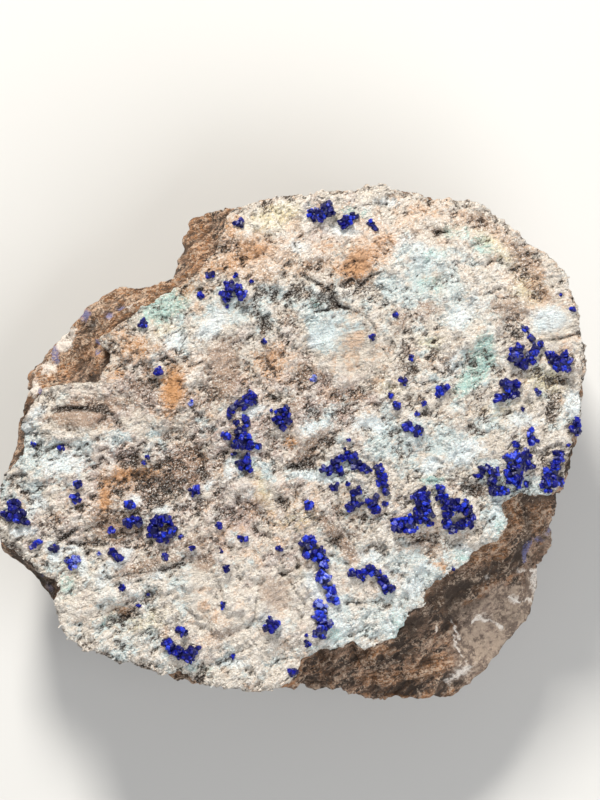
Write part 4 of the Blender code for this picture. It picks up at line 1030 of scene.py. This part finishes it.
class SPECIMEN_OT_grains(bpy.types.Operator):
    """Scatter small loose grains over the crust"""

    bl_idname = "specimen.grains"
    bl_label = "Crust grains"

    # radius of the smallest grains, what the largest have more, and how far they stray, in millimetres
    SMALLEST = 0.06
    RANGE = 0.11
    STRAY = 0.09
    # length, width and height of a grain as shares of its radius, each between two values
    SHAPE = ((1.1, 2.1), (0.55, 0.9), (0.5, 0.9))
    # greatest lean in radians, and spread of the grains' direction in degrees
    LEAN = 0.7
    SPREAD = 40.0
    # cover under which a place is free, and how proud a place is that holds grains
    FREE = 0.3
    PROUD_FROM = -0.02
    # how proud of the crust the material takes the grains to be, which lightens them as a painted highlight
    GRAIN_PROUD = 0.1

    def execute(self, context):
        crust = bpy.data.objects["crust_surface"].data
        places = places_of(crust)
        taken = mask_of(crust, "wall") + mask_of(crust, "near_crystal") + mask_of(crust, "smooth")
        rich = mask_of(crust, "proud") + 0.25 * fractal(places * (1, 1, 0), 3.0, 2, 31.0)
        seats = np.flatnonzero((taken < self.FREE) & (rich > self.PROUD_FROM))
        rng = random.Random(5)

        def grain(bm, seat):
            size = self.SMALLEST + self.RANGE * rng.random() ** 2
            shift = Vector([rng.uniform(-self.STRAY, self.STRAY) for _ in range(2)] + [0.3 * size])
            lean = Matrix.Rotation(rng.uniform(-self.LEAN, self.LEAN), 4, (rng.random(), rng.random(), 0.0))
            turn = Matrix.Rotation(math.radians(rng.gauss(FLAKE_TURN, self.SPREAD)), 4, "Z") @ lean
            sizes = Matrix.Diagonal([rng.uniform(*limits) for limits in self.SHAPE] + [1.0])
            spot = Matrix.Translation(Vector(places[seat]) + shift)
            bmesh.ops.create_icosphere(bm, subdivisions=1, radius=size, matrix=spot @ turn @ sizes)

        chosen = rng.sample(seats.tolist(), context.scene.specimen_crust.grains)
        mesh = finished_mesh("crust_grains", in_batches(bmesh.new(), chosen, grain))
        keep_mask(mesh, "proud", np.full(len(mesh.vertices), self.GRAIN_PROUD))
        keep_stains(mesh, places_of(mesh))
        add_piece("crust_grains", mesh, Finish.made["allophane"])
        return {"FINISHED"}


def cut_rock(s, crust):
    """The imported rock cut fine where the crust's outline leaves it bare, its sides smoothed."""
    bm = merged_copy(ROCK)
    bare = {}
    for face in bm.faces:
        centre = face.calc_center_median()
        reach = reach_at(crust, np.array([math.atan2(centre.y, centre.x)]))[0]
        if centre.z > UNDERSIDE and (centre.z < SIDES_TO or centre.xy.length > BARE_FROM * reach):
            bare.update(dict.fromkeys(face.edges))
    bmesh.ops.subdivide_edges(bm, edges=list(bare), cuts=s.cuts, use_grid_fill=True)
    sides = [v for v in bm.verts if v.co.z > UNDERSIDE]
    for _ in range(SMOOTHED):
        bmesh.ops.smooth_vert(bm, verts=sides, factor=0.5, use_axis_x=True, use_axis_y=True, use_axis_z=True)
    bm.normal_update()
    bmesh.ops.triangulate(bm, faces=[f for f in bm.faces if len(f.verts) > 4])
    return finished_mesh(ROCK, bm)


def rock_mesh(s):
    """The cut rock with broken lumps, layers and grit, and the values that its material reads."""
    crust = silhouette(CRUST)
    mesh = cut_rock(s, crust)
    places = places_of(mesh)
    normals = vectors_of(mesh, "normal")

    # the surface moves where it is bare, and not at the underside
    radius = np.hypot(places[:, 0], places[:, 1])
    covered = reach_at(crust, np.arctan2(places[:, 1], places[:, 0]))
    open_air = np.maximum(smooth_step(-0.9, 0.4, radius - covered), smooth_step(13.5, 11.5, places[:, 2]))
    weight = open_air * smooth_step(0.0, 1.5, places[:, 2])
    flat = places * (1, 1, 0)
    lens = 1 - 0.65 * np.clip(stained(flat, ROCK_STAINS["quartz"]), 0.0, 1.0)
    stair = 2.6 * fractal(places, 4.0, 3, 2.0, stretch=(1.6, 1.6, 0.5))
    ledges = 0.4 * (np.floor(stair) + smooth_step(0.55, 0.95, stair - np.floor(stair)) - stair)
    folds = 0.9 * np.abs(fractal(places, 2.2, 3, 9.0, stretch=(2.4, 0.7, 0.8), turn=40)) - 0.2
    lumps = s.lumps / MM * fractal(places, 3.2, 4, 5.0)
    chips = 0.36 * (0.5 - grains(places, 1.4, 3.0, (1.7, 1.7, 0.6), 40))
    bits = 1.2 * (0.5 - grains(places, 0.5, 6.0, (1.4, 1.4, 0.7)))
    grit = s.grit / MM * (fractal(places, 0.7, 3, 8.0) + bits)
    fine = ledges - folds + chips + grit
    tame = 1 - 0.75 * np.clip(stained(flat, CALM_RIM), 0.0, 1.0)
    places += normals * (weight * tame * (lumps + lens * fine))[:, None]

    # the sides stand a little further out at the upper left, and more so at the lower right
    across = 0.62 * places[:, 0] - 0.78 * places[:, 1]
    outward = 0.3 * smooth_step(-4.0, -12.0, across) + smooth_step(14.0, 25.0, across)
    places[:, :2] += normals[:, :2] * (weight * outward)[:, None]
    places[:, 2] = np.maximum(places[:, 2], 0.0)
    set_places(mesh, places)

    keep_mask(mesh, "proud", weight * lens * fine)
    high = smooth_step(*STAINS_COME_IN, places[:, 2])
    for name, stains in ROCK_STAINS.items():
        keep_mask(mesh, name, stained(flat, stains) * high)
    vein = np.zeros(len(places))
    uneven = 0.9 + 0.9 * fractal(flat, 0.8, 3, 12.0)
    for width, *points in VEINS:
        vein = np.maximum(vein, lined(flat, width * uneven, points))
    keep_mask(mesh, "vein", vein * high)
    return mesh


def rock_finish(s):
    """Limonitic rock: brown with darker layers, ochre, quartz lenses, veins and violet films."""
    f = Finish("host_rock")
    broad = f.grain(3.0, 4.0, 1.0)
    patch = f.grain(1.0, 5.0, 2.0, rough=0.65)
    fine = f.grain(0.4, 4.0, 3.0, rough=0.7)
    tiny = f.grain(0.18, 3.0, 5.0, rough=0.7)
    streak = f.grain(0.6, 5.0, 4.0, (3.2, 0.6, 0.7), 0.65, 40)
    layer = f.grain(1.4, 4.0, 7.0, (2.5, 2.5, 0.35))
    strata = f.grain(0.5, 4.0, 11.0, (4.0, 0.5, 0.5), 0.65, 12)
    ochre, quartz, proud = (f.mask(name) for name in ("ochre", "quartz", "proud"))
    speckle = (fine - 0.5) * 1.6 + (patch - 0.5) * 1.2 + (streak - 0.5) * 0.8

    def stain(name, tone, reach, low, high, share):
        f.coat(tone, f.mask(name) + speckle * reach, low, high, share)

    # layers and strata
    f.base = f.mix((broad + (streak - 0.5) * 1.4 + speckle * 0.3).step(0.36, 0.62), s.dark, s.brown)
    f.coat(s.ochre, layer + speckle * 0.3, 0.48, 0.68, 0.65)
    stain("ochre", s.ochre, 1.2, 0.15, 0.8, 0.85)
    f.coat(s.pale, ochre * 0.15 + strata + (fine - 0.5) * 0.8, 0.58, 0.72, 0.6)
    f.coat(s.dark, ochre * 0.08 - strata - (tiny - 0.5) * 0.8, -0.46, -0.34, 0.75)
    wavy = f.grain(0.7, 4.0, 15.0, (4.0, 0.6, 0.6), 0.6, 10) - 0.5
    f.coat(s.dark, 1.0 - abs(wavy) * 14.0 + (tiny - 0.5) * 1.6, 0.3, 0.9, ochre * 0.5 + 0.25)

    # stains, lenses and veins
    # Dark stains: partly dark limonite, partly a painted shadow band under the crust's edge
    stain("dark", s.dark, 0.9, 0.3, 0.9, 0.8)
    stain("quartz", s.quartz, 0.7, 0.3, 0.85, 0.9)
    f.coat(s.pale, quartz * 0.2 + patch + speckle * 0.4, 0.58, 0.85, 0.6)
    f.coat(s.dark, broad - speckle * 0.6, 0.42, 0.62, quartz.clamp() * 0.45)
    stain("cream", s.cream, 1.1, 0.35, 0.95, 0.85)
    stain("vein", s.cream, 1.0, 0.35, 0.85, 0.95)
    stain("violet", s.violet, 0.9, 0.4, 0.85, 0.8)

    # painted shade in hollows, a painted highlight on proud parts, and light grit
    # Darker where the surface lies low: painted shade
    dim = speckle * 0.7 + (tiny - 0.5) * 3.4 - proud * 1.8 - ochre * 0.25
    f.coat(s.dark, dim, 0.1, 0.7, (1.0 - quartz * 0.5) * 0.8)
    # Light grit, lighter still where the surface stands proud: a painted highlight
    f.coat(s.pale, tiny + (fine - 0.5) * 0.8 + proud * 0.35, 0.53, 0.66, 0.7)

    height = fine * 0.7 + tiny * 0.7 + streak * 0.6
    f.surface(Base_Color=f.base, Roughness=0.5 + fine * 0.3, IOR=1.5, Normal=f.bump(height, 0.45, 0.9))
    return f


class SPECIMEN_OT_rock(bpy.types.Operator):
    """Make the host rock"""

    bl_idname = "specimen.rock"
    bl_label = "Host rock"

    def execute(self, context):
        settings = context.scene.specimen_rock
        mesh = rock_mesh(settings)
        mesh.shade_smooth()
        add_piece("rock_surface", mesh, rock_finish(settings), [ROCK])
        return {"FINISHED"}


def azurite_finish(s, name, dusted):
    """Deep blue crystals with glossy faces, some under a pale film."""
    f = Finish(name)
    patch = f.grain(0.6, 2.0, 1.0)
    fine = f.grain(0.2, 3.0, 2.0)
    tone = f.mask("tone")
    # Navy where the tone is low, as on the plain solids under the coat, where it is painted shade
    f.base = f.mix((tone + (fine - 0.5) + (patch - 0.5)).step(0.2, 0.8), s.navy, s.royal)
    f.coat(s.bright, tone + (fine - 0.5) * 1.2, 0.75, 1.1, 0.85)
    # Small pale specks: partly dust, partly painted glints
    f.coat(s.dust, f.grain(0.13, 2.0, 3.0) + (patch - 0.5) * 0.4, 0.66, 0.74, 0.25)
    f.coat(s.dust, tone + (fine - 0.5) * 0.8, 1.0, 1.4, 0.6)
    if dusted:
        f.coat(s.dust, fine + (patch - 0.5), 0.4, 0.65, 0.6)
    f.surface(
        Base_Color=f.base, Roughness=0.2 + fine * 0.3, IOR=1.65, Specular_IOR_Level=0.22,
        Normal=f.bump(fine, 0.07, 0.7),
    )
    return f


def block(bm, place, size, rng, lean=1.2):
    """One blocky crystal with worn edges, standing at a place and leaning up to an angle."""
    made = bmesh.ops.create_cube(bm, size=1.0)["verts"]
    narrow = (rng.uniform(0.5, 0.9), rng.uniform(0.5, 0.9))
    for vert in made:
        if vert.co.z > 0:
            vert.co.x *= narrow[0]
            vert.co.y *= narrow[1]
    sizes = Matrix.Diagonal((size * rng.uniform(0.85, 1.2), size * rng.uniform(0.55, 0.9), size, 1.0))
    turn = Matrix.Rotation(rng.uniform(0, 2 * math.pi), 4, "Z")
    for axis in "XY":
        turn = turn @ Matrix.Rotation(rng.uniform(-lean, lean), 4, axis)
    bmesh.ops.transform(bm, matrix=Matrix.Translation(place) @ turn @ sizes, verts=made)
    edges = list(dict.fromkeys(e for v in made for e in v.link_edges))
    made = bmesh.ops.bevel(
        bm, geom=edges, offset=size * WORN, segments=1, profile=0.5, affect="EDGES", material=-1
    )["verts"]
    tone = bm.verts.layers.float["tone"]
    shade = rng.random() + stained(np.array([place]), LIGHT_BLUE)[0]
    for vert in made:
        vert[tone] = shade


def azurite_mesh(name, s, rng):
    """A packed group of crystals, a little smaller, under a coat of small crystals."""
    bm = merged_copy(name)
    tone = bm.verts.layers.float.new("tone")
    seats = []
    for face in bmesh.ops.triangulate(bm, faces=bm.faces)["faces"]:
        if face.normal.z < LOOKS_DOWN:
            continue
        a, b, c = (v.co.copy() for v in face.verts)
        crowd = s.crowd * face.calc_area()
        for _ in range(int(crowd) + (rng.random() < crowd % 1)):
            p, q = rng.random(), rng.random()
            if p + q > 1:
                p, q = 1 - p, 1 - q
            seats.append(a + (b - a) * p + (c - a) * q - face.normal * SEAT_DEPTH)
    # The plain solids draw back under their coat and take the core tone, a dark navy painted as shade in the
    # gaps between the small crystals
    for vert in bm.verts:
        vert.co -= vert.normal * s.shrink / MM
        vert[tone] = CORE_SHADE_TONE

    def small_crystal(batch, seat):
        block(batch, seat, s.crystal / MM * rng.uniform(0.6, 1.35), rng)

    return finished_mesh(name + "_mesh", in_batches(bm, seats, small_crystal))


class SPECIMEN_OT_azurite(bpy.types.Operator):
    """Make the azurite groups"""

    bl_idname = "specimen.azurite"
    bl_label = "Azurite groups"

    def execute(self, context):
        settings = context.scene.specimen_azurite
        finish = azurite_finish(settings, "azurite", False)
        dusted = azurite_finish(settings, "azurite_dusted", True)
        for name in AZURITE:
            mesh = azurite_mesh(name, settings, random.Random(name))
            chosen = dusted if "pale" in name else finish
            add_piece(name + "_crystals", mesh, chosen, [name])
        return {"FINISHED"}


class SPECIMEN_OT_specks(bpy.types.Operator):
    """Make the small single azurite crystals"""

    bl_idname = "specimen.specks"
    bl_label = "Azurite specks"

    # crystals round the middle one of a speck
    ROUND = 6
    # size of the middle one and of the others, and how far these stand from it, as shares of the speck's size
    MIDDLE = 0.65
    OTHERS = 0.4
    APART = 0.28
    # how far the middle one is lifted, a share too, and its greatest lean in radians
    LIFTED = 0.1
    LEAN = 0.5
    # height of the crust where a ray meets none, in millimetres
    CRUST_FACE = 15.0

    def execute(self, context):
        settings = context.scene.specimen_azurite
        crust = bpy.data.objects["crust_surface"].data
        tree = BVHTree.FromPolygons(
            [v.co / MM for v in crust.vertices], [tuple(p.vertices) for p in crust.polygons]
        )
        for name, specks, dusted in (
            ("azurite_specks", SPECKS, False), ("azurite_dusted_specks", DUSTED_SPECKS, True)
        ):
            rng = random.Random(name)

            def speck(bm, item):
                x, y, size = item
                foot = Vector((x, y, drop(tree, x, y, self.CRUST_FACE) + self.LIFTED * size))
                block(bm, foot, self.MIDDLE * size, rng, self.LEAN)
                for _ in range(self.ROUND):
                    angle = rng.uniform(0, 2 * math.pi)
                    way = Vector((math.cos(angle), math.sin(angle), rng.uniform(0.2, 1.2)))
                    block(bm, foot + way * self.APART * size, self.OTHERS * size, rng)

            mesh = finished_mesh(name, in_batches(bmesh.new(), specks, speck))
            add_piece(name, mesh, azurite_finish(settings, name, dusted))
        return {"FINISHED"}


def area_light(name, place, target, size, power, tint):
    """A soft square light that points at a place."""
    light = bpy.data.lights.new(name, "AREA")
    light.size = size
    light.energy = power
    light.color = tint
    lamp = bpy.data.objects.new(name, light)
    bpy.context.scene.collection.objects.link(lamp)
    lamp.location = place
    lamp.rotation_euler = (Vector(target) - Vector(place)).to_track_quat("-Z", "Y").to_euler()


class SPECIMEN_OT_stage(bpy.types.Operator):
    """Make the camera, the lights and the floor"""

    bl_idname = "specimen.stage"
    bl_label = "Stage"

    # the picture's centre in the specimen's frame, and the height of the display face
    AIM = (0.72 * MM, 3.6 * MM, 16.5 * MM)
    # width of the camera's sensor in millimetres, and how far the camera sees in metres
    SENSOR = 36.0
    FARTHEST = 10.0
    FLOOR_RADIUS = 1.5
    # each light's place, size and tint; its power is the setting of its name
    LIGHTS = {
        "key": ((-0.10, 0.40, 0.34), 0.12, (1.0, 0.98, 0.94)),
        "fill": ((0.30, -0.25, 0.40), 0.50, (0.95, 0.97, 1.0)),
    }
    SKY_TINT = (0.9, 0.92, 0.95, 1.0)

    def execute(self, context):
        s = context.scene.specimen_stage
        camera = bpy.data.objects.new("camera", bpy.data.cameras.new("camera"))
        context.scene.collection.objects.link(camera)
        camera.data.sensor_width = self.SENSOR
        camera.data.lens = self.SENSOR * s.distance / s.field
        camera.data.clip_end = self.FARTHEST
        camera.location = Vector(self.AIM) + Vector((0.0, 0.0, s.distance))
        context.scene.camera = camera
        bm = bmesh.new()
        bmesh.ops.create_circle(bm, segments=64, radius=self.FLOOR_RADIUS, cap_ends=True)
        floor = bpy.data.objects.new("floor", bpy.data.meshes.new("floor"))
        bm.to_mesh(floor.data)
        bm.free()
        context.scene.collection.objects.link(floor)
        finish = Finish("floor")
        finish.surface(Base_Color=tuple(s.floor), Roughness=0.8)
        floor.data.materials.append(finish.material)
        for name, (place, size, tint) in self.LIGHTS.items():
            area_light(name, place, self.AIM, size, getattr(s, name), tint)
        world = bpy.data.worlds.new("studio")
        world.use_nodes = True
        sky = world.node_tree.nodes["Background"].inputs
        sky["Color"].default_value = self.SKY_TINT
        sky["Strength"].default_value = s.sky
        context.scene.world = world
        context.scene.view_settings.view_transform = "Standard"
        return {"FINISHED"}


class SPECIMEN_PT_panel(bpy.types.Panel):
    """The specimen's pieces and their settings"""

    bl_idname = "SPECIMEN_PT_panel"
    bl_label = "Allophane specimen"
    bl_space_type = "VIEW_3D"
    bl_region_type = "UI"
    bl_category = "Specimen"

    def draw(self, context):
        for operator, group in STEPS:
            box = self.layout.box()
            box.operator(operator.bl_idname)
            settings = getattr(context.scene, group)
            for key in type(settings).__annotations__:
                box.prop(settings, key)


GROUPS = {
    "specimen_crust": CrustSettings,
    "specimen_rock": RockSettings,
    "specimen_azurite": AzuriteSettings,
    "specimen_stage": StageSettings,
}
STEPS = (
    (SPECIMEN_OT_rock, "specimen_rock"),
    (SPECIMEN_OT_crust, "specimen_crust"),
    (SPECIMEN_OT_grains, "specimen_crust"),
    (SPECIMEN_OT_azurite, "specimen_azurite"),
    (SPECIMEN_OT_specks, "specimen_azurite"),
    (SPECIMEN_OT_stage, "specimen_stage"),
)
CLASSES = (*GROUPS.values(), *(operator for operator, _ in STEPS), SPECIMEN_PT_panel)


def register():
    for cls in CLASSES:
        bpy.utils.register_class(cls)
    for name, group in GROUPS.items():
        setattr(bpy.types.Scene, name, PointerProperty(type=group))


def unregister():
    for name in GROUPS:
        delattr(bpy.types.Scene, name)
    for cls in reversed(CLASSES):
        bpy.utils.unregister_class(cls)


def main():
    register()
    bpy.ops.specimen.rock()
    bpy.ops.specimen.crust()
    bpy.ops.specimen.grains()
    bpy.ops.specimen.azurite()
    bpy.ops.specimen.specks()
    bpy.ops.specimen.stage()


if __name__ == "__main__":
    main()
